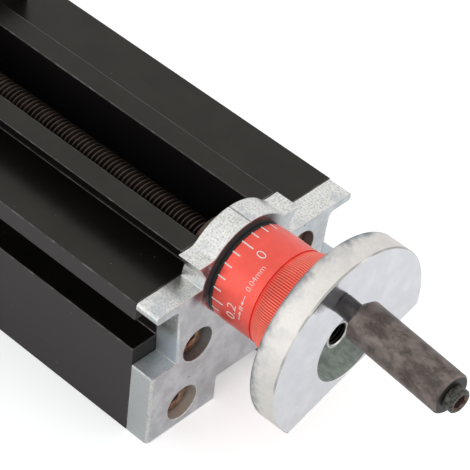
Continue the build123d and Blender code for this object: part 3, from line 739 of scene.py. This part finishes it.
def new_tree(name, kinds):
    """Geometry node tree with named inputs of these kinds: its Net, its inputs and their identifiers."""
    tree = bpy.data.node_groups.new(name, "GeometryNodeTree")
    net = Net(tree)
    tree.interface.new_socket(name="Geometry", in_out="OUTPUT", socket_type="NodeSocketGeometry")
    identifiers = {label: tree.interface.new_socket(name=label, in_out="INPUT",
                                                    socket_type="NodeSocket" + kind).identifier
                   for label, kind in kinds.items()}
    start = tree.nodes.new("NodeGroupInput")
    return net, {label: Signal(net, start.outputs[label]) for label in kinds}, identifiers


def end_tree(net, geometry, finish_input):
    """Realize Instances and Set Material, then the tree's output."""
    real = net.node("GeometryNodeRealizeInstances", None, {"Geometry": geometry})
    finished = net.node("GeometryNodeSetMaterial", None, {"Geometry": real, "Material": finish_input})
    net.node("NodeGroupOutput", None, {"Geometry": finished})
    return net.tree


def run_tree(piece, tree_parts, values):
    """Put a tree on a piece with its input values, and turn the result into plain mesh."""
    tree, identifiers = tree_parts
    modifier = piece.modifiers.new(tree.name, "NODES")
    modifier.node_group = tree
    for label, value in values.items():
        modifier[identifiers[label]] = value
    return freeze(piece)


@cache
def thread_tree():
    """Thread along X: a grid sheared along the helix, so each crest and root is one row of points."""
    net, given, identifiers = new_tree("Thread", {
        "Start": "Float", "End": "Float", "Outer Radius": "Float", "Depth": "Float", "Pitch": "Float",
        "Hand": "Float", "Around": "Int", "Inside": "Bool", "Centre Y": "Float", "Centre Z": "Float",
        "Finish": "Material"})
    rows = (((given["End"] - given["Start"]) / given["Pitch"]).whole() + 3.0) * 4.0
    grid = net.node("GeometryNodeMeshGrid", None,
                    {"Size X": rows, "Size Y": 1.0, "Vertices X": rows + 1.0,
                     "Vertices Y": given["Around"] + 1.0})
    spot = net.split(net.node("GeometryNodeInputPosition"))
    row = (spot[0] + rows * 0.5 + 0.5).whole()
    share = spot[1] + 0.5
    turn = (row / 4.0 + 0.01).whole()
    phase = row - turn * 4.0
    along = (phase > 0.5) * 0.125 + (phase > 1.5) * 0.3125 + (phase > 2.5) * 0.25
    x = given["Start"] + given["Pitch"] * (turn + along - 1.5 + given["Hand"] * (share - 0.5))
    radius = given["Outer Radius"] - given["Depth"] * (phase > 1.5)
    angle = share * (2 * math.pi)
    spiral = net.join(x.largest(given["Start"]).smallest(given["End"]),
                      given["Centre Y"] - radius * angle.sine(), given["Centre Z"] + radius * angle.cosine())
    placed = net.node("GeometryNodeSetPosition", None, {"Geometry": grid, "Position": spiral})
    merged = net.node("GeometryNodeMergeByDistance", None, {"Geometry": placed, "Distance": 2e-6})
    outward = net.node("GeometryNodeFlipFaces", None, {"Mesh": merged, "Selection": 1.0 - given["Inside"]})
    return end_tree(net, outward, given["Finish"]), identifiers


@cache
def round_tree():
    """Copies of the piece's own mesh, turned about X step by step."""
    net, given, identifiers = new_tree("Copies", {
        "Geometry": "Geometry", "Count": "Int", "First Angle": "Float", "Angle Step": "Float",
        "Centre": "Vector", "Finish": "Material"})
    index = net.node("GeometryNodeInputIndex")
    points = net.node("GeometryNodePoints", None, {"Count": given["Count"], "Position": given["Centre"]})
    turn = net.node("FunctionNodeEulerToRotation", None,
                    {0: net.join(given["First Angle"] + given["Angle Step"] * index, 0.0, 0.0)})
    copies = net.node("GeometryNodeInstanceOnPoints", None,
                      {"Points": points, "Instance": given["Geometry"], "Rotation": turn})
    real = net.node("GeometryNodeRealizeInstances", None, {"Geometry": copies})
    merged = net.node("GeometryNodeMergeByDistance", None, {"Geometry": real, "Distance": 1e-6})
    return end_tree(net, merged, given["Finish"]), identifiers


@cache
def places_tree():
    """A pattern object set on each point of the piece's mesh, each turned about X by chance."""
    net, given, identifiers = new_tree("At Places", {
        "Geometry": "Geometry", "Pattern": "Object", "Base Turn": "Vector", "Seed": "Int",
        "Chance Turn": "Float", "Finish": "Material"})
    chance = net.node("FunctionNodeRandomValue", {"data_type": "FLOAT"},
                      {2: 0.0, 3: given["Chance Turn"], "Seed": given["Seed"]}, 1)
    pattern = net.node("GeometryNodeObjectInfo", None, {"Object": given["Pattern"]}, "Geometry")
    base = net.node("FunctionNodeEulerToRotation", None, {0: given["Base Turn"]})
    spin = net.node("FunctionNodeEulerToRotation", None, {0: net.join(0.0, 0.0, chance)})
    both = net.node("FunctionNodeRotateRotation", {"rotation_space": "LOCAL"}, {0: base, 1: spin})
    copies = net.node("GeometryNodeInstanceOnPoints", None,
                      {"Points": given["Geometry"], "Instance": pattern, "Rotation": both})
    return end_tree(net, copies, given["Finish"]), identifiers


def thread(name, start, end, outer, depth, pitch, finish_name, hand, inside=False, around_steps=40):
    """Threaded surface round the screw's axis as plain mesh; sizes in millimetres."""
    piece = new_piece(name, bpy.data.meshes.new(name))
    run_tree(piece, thread_tree(), {
        "Start": start * MM, "End": end * MM, "Outer Radius": outer * MM, "Depth": depth * MM,
        "Pitch": pitch * MM, "Hand": float(hand), "Around": around_steps, "Inside": inside,
        "Centre Y": AXIS_Y, "Centre Z": AXIS_Z, "Finish": material(finish_name)})
    soften(piece.data, 28.0)
    return piece


def round_copies(name, mesh, count, first, step, finish_name):
    """Copies of a mesh about the screw's axis as one plain mesh; angles in degrees."""
    return run_tree(new_piece(name, mesh), round_tree(), {
        "Count": count, "First Angle": math.radians(first), "Angle Step": math.radians(step),
        "Centre": (0.0, AXIS_Y, AXIS_Z), "Finish": material(finish_name)})


def copies_at(name, places, pattern, finish_name, base_turn, seed, chance):
    """A pattern object at each place as one plain mesh. The pattern's own axis is Z."""
    return run_tree(new_piece(name, raw_mesh(name, places)), places_tree(), {
        "Pattern": pattern, "Base Turn": base_turn, "Seed": seed, "Chance Turn": chance,
        "Finish": material(finish_name)})


def fuse(name, pieces):
    """Join several plain pieces into the first."""
    finishes = []
    mesh = bpy.data.meshes.new(name)
    with editing(mesh) as shape:
        for piece in pieces:
            begin = len(shape.faces)
            shape.from_mesh(piece.data)
            shape.faces.ensure_lookup_table()
            for face in shape.faces[begin:]:
                used = piece.data.materials[face.material_index]
                if used not in finishes:
                    finishes.append(used)
                face.material_index = finishes.index(used)
    for used in finishes:
        mesh.materials.append(used)
    for piece in pieces[1:]:
        bpy.data.objects.remove(piece)
    pieces[0].data = mesh
    pieces[0].name = name
    return pieces[0]


def socket_head(name, head_radius, head_height, socket_width, socket_depth, shank_radius, shank_length):
    """Mesh of a hexagon-socket screw, seat at z = 0, head above it and shank below; millimetres."""
    steps = 36
    sixth = math.radians(60)
    edge = head_height * 0.14
    corner = socket_width / math.sqrt(3)
    lead_in = 0.12 * socket_width
    points = []

    def hexagon(turn):
        return corner * math.cos(sixth / 2) / math.cos(turn % sixth - sixth / 2)

    def add_ring(radius_of, z):
        for step in range(steps):
            turn = 2 * math.pi * step / steps
            radius = radius_of(turn)
            points.append(Vector((radius * math.cos(turn), radius * math.sin(turn), z)) * MM)

    add_ring(hexagon, head_height - socket_depth)
    add_ring(hexagon, head_height - lead_in)
    add_ring(lambda turn: max(hexagon(turn), corner * 0.97) + lead_in * 0.5, head_height)
    for radius, z in ((head_radius - edge, head_height), (head_radius, head_height - edge),
                      (head_radius, edge * 0.5), (head_radius - edge * 0.5, 0), (shank_radius, 0),
                      (shank_radius, -shank_length + 0.4), (shank_radius - 0.4, -shank_length)):
        add_ring(lambda turn: radius, z)
    tip = len(points)
    points.append(Vector((0, 0, head_height - socket_depth - 0.25)) * MM)
    faces = [(low + step, low + (step + 1) % steps, low + steps + (step + 1) % steps, low + steps + step)
             for low in range(0, tip - steps, steps) for step in range(steps)]
    faces += [(tip, (step + 1) % steps, step) for step in range(steps)]
    faces.append(list(range(tip - steps, tip)))
    return soften(plain_mesh(name, points, faces), 28.0)


# Dial: its ring and ribs, then the marks on it; lengths in millimetres, turns in degrees


def swell(x, low, high):
    """Radius of the dial's band at x, where it swells from low to high."""
    t = min(max((x - KNURL_START) / SWELL_LENGTH, 0.0), 1.0)
    lift = 0.15 * SWELL_LENGTH * (t ** 3 - 2 * t ** 2 + t)
    return low * (2 * t ** 3 - 3 * t ** 2 + 1) + high * (3 * t ** 2 - 2 * t ** 3) + lift


def dial_profile(end, rib):
    """Profile of the ring under its ribs."""
    top = KNURL_RADIUS
    groove_floor = DRUM_RADIUS - 0.35
    outline = [(DIAL_START, DIAL_BORE), (DIAL_START, DRUM_RADIUS - 0.25), (DIAL_START + 0.25, DRUM_RADIUS),
               (GROOVE_START, DRUM_RADIUS), (GROOVE_START, groove_floor), (KNURL_START, groove_floor)]
    for i in range(SWELL_STEPS + 1):
        x = KNURL_START + SWELL_LENGTH * i / SWELL_STEPS
        outline.append((x, swell(x, DRUM_RADIUS - rib, top - rib)))
    lip = end - RIB_LIP
    return outline + [(lip, top - rib), (lip + 0.05, top - 0.02), (end - 0.3, top - 0.02), (end, top - 0.3),
                      (end, DIAL_BORE)]


def rib_mesh(end, height, count):
    """One rib of the band and its two valleys."""
    stations = [KNURL_START + 0.02 + (SWELL_LENGTH - 0.02) * i / SWELL_STEPS for i in range(SWELL_STEPS + 1)]
    stations += [end - RIB_LIP - 0.12, end - RIB_LIP + 0.04]
    last = len(stations) - 1
    sunk = 0.015
    points = []
    for i, x in enumerate(stations):
        crest = swell(x, DRUM_RADIUS, KNURL_RADIUS)
        for share, cut in ((-0.5, height + sunk), (-0.16, 0.0), (0.16, 0.0), (0.5, height + sunk)):
            radius = crest - (cut if i < last else height + sunk)
            points.append(around(x, radius, 2 * math.pi / count * share))
    faces = [(a, a + 1, a + 5, a + 4) for i in range(last) for a in range(i * 4, i * 4 + 3)]
    mesh = raw_mesh("rib", points, faces + [(0, 3, 2, 1)])
    with editing(mesh) as shape:
        for face in shape.faces:
            face.normal_update()
        inward = [face for face in shape.faces if face.normal.z < -0.05 or face.normal.x > 0.9]
        bmesh.ops.reverse_faces(shape, faces=inward)
    return mesh


def mark(begin, stop, half):
    """Thin bar on top of the drum, from begin to stop millimetres along it."""
    return box_mesh("bar", [Vector((DIAL_START + x, y, DRUM_RADIUS + z)) * MM
                            for x in (begin, stop) for y in (-half, half) for z in (-0.02, 0.02)])


def dial_ticks(sizes):
    """Short ticks at every division, with an extension at every fifth."""
    half = sizes.tick_width / 2 / MM
    first = math.degrees(sizes.tick_first)
    step = 360.0 / sizes.divisions
    short = sizes.short_tick / MM
    return fuse("dial_ticks", [
        round_copies("short_ticks", mark(0.1, short, half), sizes.divisions, first, step, "dial_marks"),
        round_copies("long_ticks", mark(short, sizes.long_tick / MM, half), sizes.divisions // 5, first,
                     5 * step, "dial_marks")])


def wrap(mesh, across, turn):
    """Lay a flat mesh on the drum: its x runs round clockwise, its y towards the plate."""
    facet = 0.25 * MM
    with editing(mesh) as shape:
        width = [vert.co.x for vert in shape.verts]
        cut = min(width) + facet
        while cut < max(width):
            parts = shape.verts[:] + shape.edges[:] + shape.faces[:]
            bmesh.ops.bisect_plane(shape, geom=parts, plane_co=(cut, 0, 0), plane_no=(1, 0, 0))
            cut += facet
        for vert in shape.verts:
            angle = math.radians(turn) - vert.co.x / (DRUM_RADIUS * MM)
            radius = DRUM_RADIUS * MM + 0.005 * MM + vert.co.z
            vert.co = ((DIAL_START + across) * MM - vert.co.y, AXIS_Y - radius * math.sin(angle),
                       AXIS_Z + radius * math.cos(angle))
        bmesh.ops.recalc_face_normals(shape, faces=shape.faces)
    return painted(mesh, ["dial_marks"])


def letters(text, size, across, turn):
    """One word laid on the drum."""
    curve = bpy.data.curves.new("word", "FONT")
    curve.body = text
    curve.size = size
    curve.align_x = "CENTER"
    curve.align_y = "CENTER"
    curve.extrude = 0.015 * MM
    curve.resolution_u = 3
    curve.offset = -0.015 * size
    source = new_piece("word", curve)
    graph = bpy.context.evaluated_depsgraph_get()
    mesh = bpy.data.meshes.new_from_object(source.evaluated_get(graph))
    bpy.data.objects.remove(source)
    return new_piece("word_" + text, wrap(mesh, across, turn))


def arrow(across, tail, head):
    """Arrow from tail to head, both in degrees round the drum."""
    length = math.radians(abs(tail - head)) * DRUM_RADIUS
    sign = 1 if tail > head else -1
    neck = length - 0.7
    outline = [(0, 0.06), (neck, 0.06), (neck, 0.26), (length, 0.0), (neck, -0.26), (neck, -0.06), (0, -0.06)]
    count = len(outline)
    points = [Vector((sign * x, y, z)) * MM for z in (-0.015, 0.015) for x, y in outline]
    faces = [list(range(count)), list(range(2 * count - 1, count - 1, -1))]
    faces += [(i, (i + 1) % count, count + (i + 1) % count, count + i) for i in range(count)]
    return new_piece("arrow", wrap(plain_mesh("arrow", points, faces), across, tail))


def dial_lettering(sizes):
    """Numerals at the long ticks and the small legend of one division."""
    numeral_place = 4.8
    legend_place = 6.7
    first = math.degrees(sizes.tick_first)
    step = 5 * 360.0 / sizes.divisions
    words = [letters(text, sizes.numeral_size, numeral_place, first + i * step)
             for i, text in enumerate(("0", "0.2", "0.4", "0.6", "0.8"))]
    words.append(letters("0.04mm", sizes.legend_size, legend_place, 43.0))
    words += [arrow(legend_place, tail, head) for tail, head in ((95.0, 83.0), (64.0, 76.0))]
    words += [round_copies("bar_mark", mark(legend_place - 0.45, legend_place + 0.45, 0.08), 1, turn, 0.0,
                           "dial_marks") for turn in (80.6, 78.2)]
    return fuse("dial_lettering", words)


# Settings that a user would change


def colour_setting(name, description, *default):
    """Colour of a finish."""
    return bpy.props.FloatVectorProperty(name=name, description=description, subtype="COLOR", size=3,
                                         min=0, max=1, default=default)


def length_setting(name, description, default, **limits):
    """Length, with its default in millimetres."""
    return bpy.props.FloatProperty(name=name, description=description, unit="LENGTH", default=default * MM,
                                   **limits)


def number_setting(name, description, default, low=0):
    """Plain number."""
    return bpy.props.FloatProperty(name=name, description=description, default=default, min=low)


def count_setting(name, description, default, low):
    """Whole number."""
    return bpy.props.IntProperty(name=name, description=description, default=default, min=low)


class SlideColours(bpy.types.PropertyGroup):
    """Colours of the cross slide's finishes."""

    bed: colour_setting("Bed", "Black anodised bed and saddle", 0.040, 0.037, 0.033)
    # Painted light: a lighter copy of the bed's black for its upright sides.
    bed_side_painted_light: colour_setting("Bed side", "Upright sides of the bed", 0.078, 0.069, 0.072)
    casting: colour_setting("Casting", "Sides of the die-cast end plates", 0.69, 0.69, 0.67)
    ground_face: colour_setting("Ground face", "Ground faces of the end plates", 0.665, 0.69, 0.715)
    # Also the colour of the painted reflections on the plates' shoulders and the wheel's rim.
    cloud: colour_setting("Cloud", "Blue-grey clouds in the bright metal", 0.40, 0.47, 0.53)
    wheel: colour_setting("Wheel", "Face of the handwheel", 0.83, 0.825, 0.87)
    rim: colour_setting("Rim", "Rim of the handwheel", 0.80, 0.77, 0.74)
    dial: colour_setting("Dial", "Red anodised dial", 0.96, 0.105, 0.075)
    marks: colour_setting("Marks", "Filling of ticks and numerals", 0.86, 0.84, 0.80)
    thread: colour_setting("Lead screw", "Dark oiled lead screw", 0.075, 0.055, 0.045)
    oxide: colour_setting("Grip", "Browned oxide of the grip's sleeve", 0.10, 0.082, 0.074)
    browned: colour_setting("Plate screws", "Browned plate screws", 0.30, 0.19, 0.13)
    bronze: colour_setting("Bronze", "Bushes, gib and lead nut", 0.55, 0.37, 0.17)


class SlideSizes(bpy.types.PropertyGroup):
    """Sizes of the details that the CAD frame leaves to the looks."""

    pitch: length_setting("Screw pitch", "Travel of the saddle in one turn", 1.0, min=0.2 * MM)
    thread_depth: length_setting("Thread depth", "Depth of the lead screw's thread", 0.58, min=0.1 * MM)
    left_hand: bpy.props.BoolProperty(name="Left-hand thread", default=True,
                                      description="Direction of the lead screw's helix")
    ribs: count_setting("Dial ribs", "Straight ribs round the dial's band", RIBS, 24)
    rib_height: length_setting("Rib height", "Height of the dial's ribs", 0.18)
    tick_first: bpy.props.FloatProperty(name="Zero mark", description="Turn of the zero mark from the top",
                                        unit="ROTATION", default=math.radians(19.3))
    divisions: count_setting("Divisions", "Divisions round the dial", 25, 5)
    short_tick: length_setting("Short tick", "Length of a short tick", 1.8)
    long_tick: length_setting("Long tick", "Length of a numbered tick", 2.8)
    tick_width: length_setting("Tick width", "Width of every tick", 0.25)
    numeral_size: length_setting("Numerals", "Letter size of the dial's numerals", 2.95)
    legend_size: length_setting("Legend", "Letter size of the dial's small legend", 1.6)


class SlideStage(bpy.types.PropertyGroup):
    """Light and camera of the picture."""

    lens: number_setting("Lens", "Focal length in millimetres on a 36 mm frame", 184.46, 10)
    ambient: number_setting("Ambient", "Strength of the even light from all round", 0.78)
    key: number_setting("Key lamp", "Power of the main soft lamp in watts", 0.8)
    low: number_setting("Low lamp", "Power of the small lamp on the left in watts", 0.22)
    fill: number_setting("Fill lamp", "Power of the soft lamp opposite in watts", 0.6)


# Operators: one for each piece or group of like pieces


class SLIDE_OT_bed(bpy.types.Operator):
    """Dress the dovetail bed"""

    bl_idname = "slide.bed"
    bl_label = "Bed"

    def execute(self, context):
        dressed("bed_rail", "base", "black_anodised", 0.22, "black_edge")
        return {"FINISHED"}


class SLIDE_OT_plates(bpy.types.Operator):
    """Dress the two end plates"""

    bl_idname = "slide.plates"
    bl_label = "End Plates"

    def execute(self, context):
        for node in ("front_end_plate", "rear_end_plate"):
            piece = merged_copy(node, "cast_plate", "cast_edge")
            if node == "front_end_plate":
                self.narrow_notch(piece.data)
            round_edges(piece, plate_rounding, segments=3, edge_material=1)
            for vert in piece.data.vertices:
                vert.co.z = max(vert.co.z, 0.0)
            for face in piece.data.polygons:
                broad = abs(face.center.x) > (PLATE_FACE - 0.85) * MM and abs(face.center.y) > PLATE_SIDE * MM
                if broad and abs(face.normal.z) < 0.3:
                    face.material_index = 0
            seat(piece, "base", "cast_plate", node)
        points = [ON_AXIS @ around(x, radius, NOTCH_TURN) + Vector((0, side * MM, 0))
                  for x in (PLATE_FACE - 5.1, PLATE_FACE - 0.1)
                  for radius in (HEAD_RADIUS - 0.2, HEAD_RADIUS - 0.06) for side in (-0.07, 0.07)]
        seat(new_piece("index_line", box_mesh("index_line", points, "index_dirt")), "base", "cast_plate")
        return {"FINISHED"}

    @staticmethod
    def narrow_notch(mesh):
        """Draw the index notch in to the thin line that the photograph shows."""
        for vert in mesh.vertices:
            y, z, radius = from_axis(vert.co)
            turn = math.atan2(-y, z) - NOTCH_TURN
            if abs(turn) < NOTCH_REACH and radius > (HEAD_RADIUS - 0.6) * MM:
                turn = turn * NOTCH_SHRINK + NOTCH_TURN
                radius = HEAD_RADIUS * MM - (HEAD_RADIUS * MM - radius) * NOTCH_SHRINK
                vert.co.y = AXIS_Y - radius * math.sin(turn)
                vert.co.z = AXIS_Z + radius * math.cos(turn)


class SLIDE_OT_plate_screws(bpy.types.Operator):
    """Set the hexagon-socket screws in both end plates"""

    bl_idname = "slide.plate_screws"
    bl_label = "Plate Screws"

    def execute(self, context):
        pattern = new_piece("screw_pattern", socket_head("screw_pattern", 3.4, 2.3, 3.0, 1.5, 2.0, 12.9))
        for side, node in ((1, "front_plate_screws"), (-1, "rear_plate_screws")):
            places = [(side * SCREW_SEAT * MM, y * MM, z * MM) for y, z in SCREW_PLACES]
            piece = copies_at(node + "_dressed", places, pattern, "browned_screw",
                              (0.0, side * math.pi / 2, 0.0), 3, math.pi / 3)
            piece.data.materials.append(material("rubbed_screw"))
            seat(round_edges(piece, 0.09, 28.0, 2, 1), "base", "screw_steel", node)
        bpy.data.objects.remove(pattern)
        return {"FINISHED"}


class SLIDE_OT_lead_screw(bpy.types.Operator):
    """Cut the lead screw's thread, its journals and the tapped hole in its front end"""

    bl_idname = "slide.lead_screw"
    bl_label = "Lead Screw"

    def execute(self, context):
        sizes = context.scene.slide_sizes
        depth = sizes.thread_depth / MM
        rear, front = (corner.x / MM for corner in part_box("lead_screw"))
        helix = thread("thread", *THREAD_ENDS, SCREW_RADIUS, depth, sizes.pitch / MM, "lead_screw_steel",
                       -1 if sizes.left_hand else 1)
        core = SCREW_RADIUS - depth - 0.02
        body = turned("journals", [(rear, 0), (rear, 2.1), (rear + 0.4, 2.5), (-74, 2.5), (-74, 2.98),
                                   (-73.5, 2.98), (-73.5, core), (74.9, core), (74.9, 2.99),
                                   (front - 0.25, 2.99), (front, 2.8), (front, 2.42), (front - 0.22, 2.2),
                                   (front - 0.22, 2.52), (front - 10, 2.52), (front - 11, 0)],
                      "screw_end_steel", steps=64)
        inner = thread("end_hole_thread", front - 9.6, front - 0.18, 2.5, 0.38, 0.8, "hole_steel", 1,
                       inside=True, around_steps=32)
        seat(fuse("lead_screw_dressed", [helix, body, inner]), "screw", "dark_steel", "lead_screw")
        return {"FINISHED"}


class SLIDE_OT_bearings(bpy.types.Operator):
    """Dress the bushes, the washer, the collar and the small parts in the hub"""

    bl_idname = "slide.bearings"
    bl_label = "Bearings"

    def execute(self, context):
        for node in ("front_bearing_bush", "rear_bearing_bush"):
            dressed(node, "base", "bronze", 0.15)
        bore = 3.05
        profile = rounded([(PLATE_FACE, bore), (PLATE_FACE, WASHER_RADIUS), (WASHER_FRONT, WASHER_RADIUS),
                           (WASHER_FRONT, bore)], 0.2)
        washer = turned("thrust_washer_dressed", profile, "black_washer")
        seat(washer, "base", "black_washer", "thrust_washer")
        for node, slot_name, rounding in (("thrust_collar", "dark_steel", 0.25),
                                          ("collar_set_screw", "dark_steel", 0.08),
                                          ("wheel_drive_pin", "screw_steel", 0.08),
                                          ("dial_spring", "screw_steel", 0.08)):
            dressed(node, "screw", slot_name, rounding)
        return {"FINISHED"}


class SLIDE_OT_dial(bpy.types.Operator):
    """Turn the red dial, roll its straight ribs and fill its ticks, numerals and legend"""

    bl_idname = "slide.dial"
    bl_label = "Graduated Dial"

    def execute(self, context):
        sizes = context.scene.slide_sizes
        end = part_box("graduated_dial")[1].x / MM
        height = sizes.rib_height / MM
        body = turned("dial_body", dial_profile(end, height), "red_anodised", steps=192)
        ribs = round_copies("dial_ribs", rib_mesh(end, height, sizes.ribs), sizes.ribs, 0.0,
                            360.0 / sizes.ribs, "red_anodised")
        soften(ribs.data, 25.0)
        seat(fuse("graduated_dial_dressed", [body, ribs]), "dial", "red_anodised", "graduated_dial")
        seat(dial_ticks(sizes), "dial", "red_anodised")
        seat(dial_lettering(sizes), "dial", "red_anodised")
        return {"FINISHED"}


class SLIDE_OT_handwheel(bpy.types.Operator):
    """Dress the plated handwheel, with its dish's mouth widened as the photograph shows it"""

    bl_idname = "slide.handwheel"
    bl_label = "Handwheel"

    def execute(self, context):
        piece = merged_copy("handwheel", "plated_wheel", "plated_edge")
        for vert in piece.data.vertices:
            y, z, radius = from_axis(vert.co)
            if abs(vert.co.x / MM - WHEEL_FACE) < 0.02 and abs(radius / MM - CAD_DISH_RADIUS) < 0.05:
                vert.co.y = AXIS_Y + y * DISH_RADIUS * MM / radius
                vert.co.z = AXIS_Z + z * DISH_RADIUS * MM / radius
        seat(round_edges(piece, wheel_rounding, edge_material=1), "screw", "plated_wheel", "handwheel")
        return {"FINISHED"}


class SLIDE_OT_crank(bpy.types.Operator):
    """Turn the crank pin, the grip's sleeve and its end screw"""

    bl_idname = "slide.crank"
    bl_label = "Crank Handle"

    def execute(self, context):
        place = pin_place()
        pin = rounded([(-5.4, 0), (-5.4, 1.58), (0.1, 1.58), (0.1, 1.93), (4.6, 1.95), (4.6, PIN_RADIUS),
                       (PIN_END, PIN_RADIUS), (PIN_END, 0)], 0.15)
        seat(turned("crank_pin_dressed", pin, "black_oxide", place, 48), "screw", "black_oxide", "crank_pin")
        bore = PIN_RADIUS + 0.05
        rim = SLEEVE_RADIUS - 0.35
        sleeve = rounded([(4.65, bore), (4.65, rim), (5.0, SLEEVE_RADIUS), (25.3, SLEEVE_RADIUS),
                          (25.65, rim), (25.65, bore)], 0.12)
        seat(turned("grip_sleeve_dressed", sleeve, "grip_oxide", place, 72), "grip", "black_oxide",
             "grip_sleeve")
        head = socket_head("grip_end_screw_dressed", 2.3, 2.0, 2.5, 1.2, 0.9, 4.9)
        at_end = Matrix.Translation((PIN_END * MM, 0, 0)) @ Matrix.Rotation(math.pi / 2, 4, "Y")
        head.transform(place @ at_end)
        seat(new_piece("grip_end_screw_dressed", painted(head, ["rusty_screw"])), "screw", "black_oxide",
             "grip_end_screw")
        return {"FINISHED"}


class SLIDE_OT_saddle(bpy.types.Operator):
    """Dress the saddle with its gib, screws, lock nuts and lead nut"""

    bl_idname = "slide.saddle"
    bl_label = "Saddle"

    def execute(self, context):
        dressed("saddle_block", "saddle", "black_anodised", 0.2, "black_edge")
        for node, slot_name, rounding in (("gib_strip", "bronze", 0.12), ("lead_nut", "bronze", 0.25),
                                          ("gib_lock_nuts", "screw_steel", 0.3),
                                          ("gib_screws", "screw_steel", 0.1),
                                          ("lead_nut_screws", "screw_steel", 0.12)):
            dressed(node, "saddle", slot_name, rounding)
        return {"FINISHED"}


class SLIDE_OT_stage(bpy.types.Operator):
    """Set the floor, the soft lamps, the world and the camera"""

    bl_idname = "slide.stage"
    bl_label = "Stage"

    def execute(self, context):
        stage = context.scene.slide_stage
        self.floor()
        self.world(stage)
        for name, place, target, size in LAMPS:
            light = bpy.data.lights.new(name + "_lamp", "AREA")
            light.size = size
            light.energy = getattr(stage, name)
            aim = (Vector(target) - Vector(place)).to_track_quat("-Z", "Y")
            new_piece(light.name, light).matrix_world = Matrix.Translation(place) @ aim.to_matrix().to_4x4()
        camera = bpy.data.cameras.new("camera")
        camera.lens = stage.lens
        camera.sensor_width = 36.0
        camera.clip_start = 0.01
        seen_from = new_piece("camera", camera)
        seen_from.matrix_world = Matrix.Translation(CAMERA_PLACE) @ CAMERA_TURN.transposed().to_4x4()
        context.scene.camera = seen_from
        context.scene.view_settings.view_transform = "Standard"
        return {"FINISHED"}

    @staticmethod
    def floor():
        """Plain pale floor that turns white for the camera and keeps the shadow."""
        mesh = raw_mesh("floor", [(-3, -3, 0), (3, -3, 0), (3, 3, 0), (-3, 3, 0)], [(0, 1, 2, 3)])
        made = bpy.data.materials.new("floor")
        made.use_nodes = True
        paint = Paint(made.node_tree)
        colour = paint.mix(paint.grain(400, 2.0), (0.89, 0.91, 0.91), (0.91, 0.93, 0.93))
        diffuse = paint.node("ShaderNodeBsdfDiffuse", None, {"Color": colour})
        seen = paint.node("ShaderNodeLightPath", None, None, "Is Camera Ray")
        glow = paint.node("ShaderNodeEmission", None, {"Color": (1, 1, 1, 1), "Strength": seen * FLOOR_GLOW})
        both = paint.node("ShaderNodeAddShader", None, {0: diffuse, 1: glow})
        paint.node("ShaderNodeOutputMaterial", None, {"Surface": both})
        mesh.materials.append(made)
        new_piece("floor", mesh)

    @staticmethod
    def world(stage):
        """Even pale surroundings: white to the camera, a little dimmer in reflections and as a light."""
        world = bpy.data.worlds.new("studio")
        world.use_nodes = True
        net = Net(world.node_tree)
        camera_ray = net.node("ShaderNodeLightPath", None, None, "Is Camera Ray")
        glossy_ray = net.node("ShaderNodeLightPath", None, None, "Is Glossy Ray")
        strength = camera_ray.largest(glossy_ray * REFLECTED).largest(stage.ambient)
        light = net.node("ShaderNodeBackground", None, {"Color": (1, 1, 1, 1), "Strength": strength})
        net.node("ShaderNodeOutputWorld", None, {"Surface": light})
        bpy.context.scene.world = world


PIECES = (SLIDE_OT_bed, SLIDE_OT_plates, SLIDE_OT_plate_screws, SLIDE_OT_lead_screw, SLIDE_OT_bearings,
          SLIDE_OT_dial, SLIDE_OT_handwheel, SLIDE_OT_crank, SLIDE_OT_saddle, SLIDE_OT_stage)


class SLIDE_PT_looks(bpy.types.Panel):
    """Panel that lists the pieces of the cross slide."""

    bl_label = "Cross Slide"
    bl_idname = "SLIDE_PT_looks"
    bl_space_type = "VIEW_3D"
    bl_region_type = "UI"
    bl_category = "Slide"

    def draw(self, context):
        for group in (context.scene.slide_sizes, context.scene.slide_colours, context.scene.slide_stage):
            box = self.layout.box()
            for name in group.__annotations__:
                box.prop(group, name)
        for piece in PIECES:
            self.layout.operator(piece.bl_idname)


GROUPS = {"slide_colours": SlideColours, "slide_sizes": SlideSizes, "slide_stage": SlideStage}


def register():
    """Register the settings, the operators and the panel."""
    for name, group in GROUPS.items():
        bpy.utils.register_class(group)
        setattr(bpy.types.Scene, name, bpy.props.PointerProperty(type=group))
    for piece in PIECES:
        bpy.utils.register_class(piece)
    bpy.utils.register_class(SLIDE_PT_looks)


def unregister():
    """Take back what register added."""
    bpy.utils.unregister_class(SLIDE_PT_looks)
    for piece in reversed(PIECES):
        bpy.utils.unregister_class(piece)
    for name, group in GROUPS.items():
        delattr(bpy.types.Scene, name)
        bpy.utils.unregister_class(group)


def main():
    """Register the add-on and make every piece."""
    register()
    for piece in PIECES:
        group, name = piece.bl_idname.split(".")
        getattr(getattr(bpy.ops, group), name)()


if __name__ == "__main__":
    main()
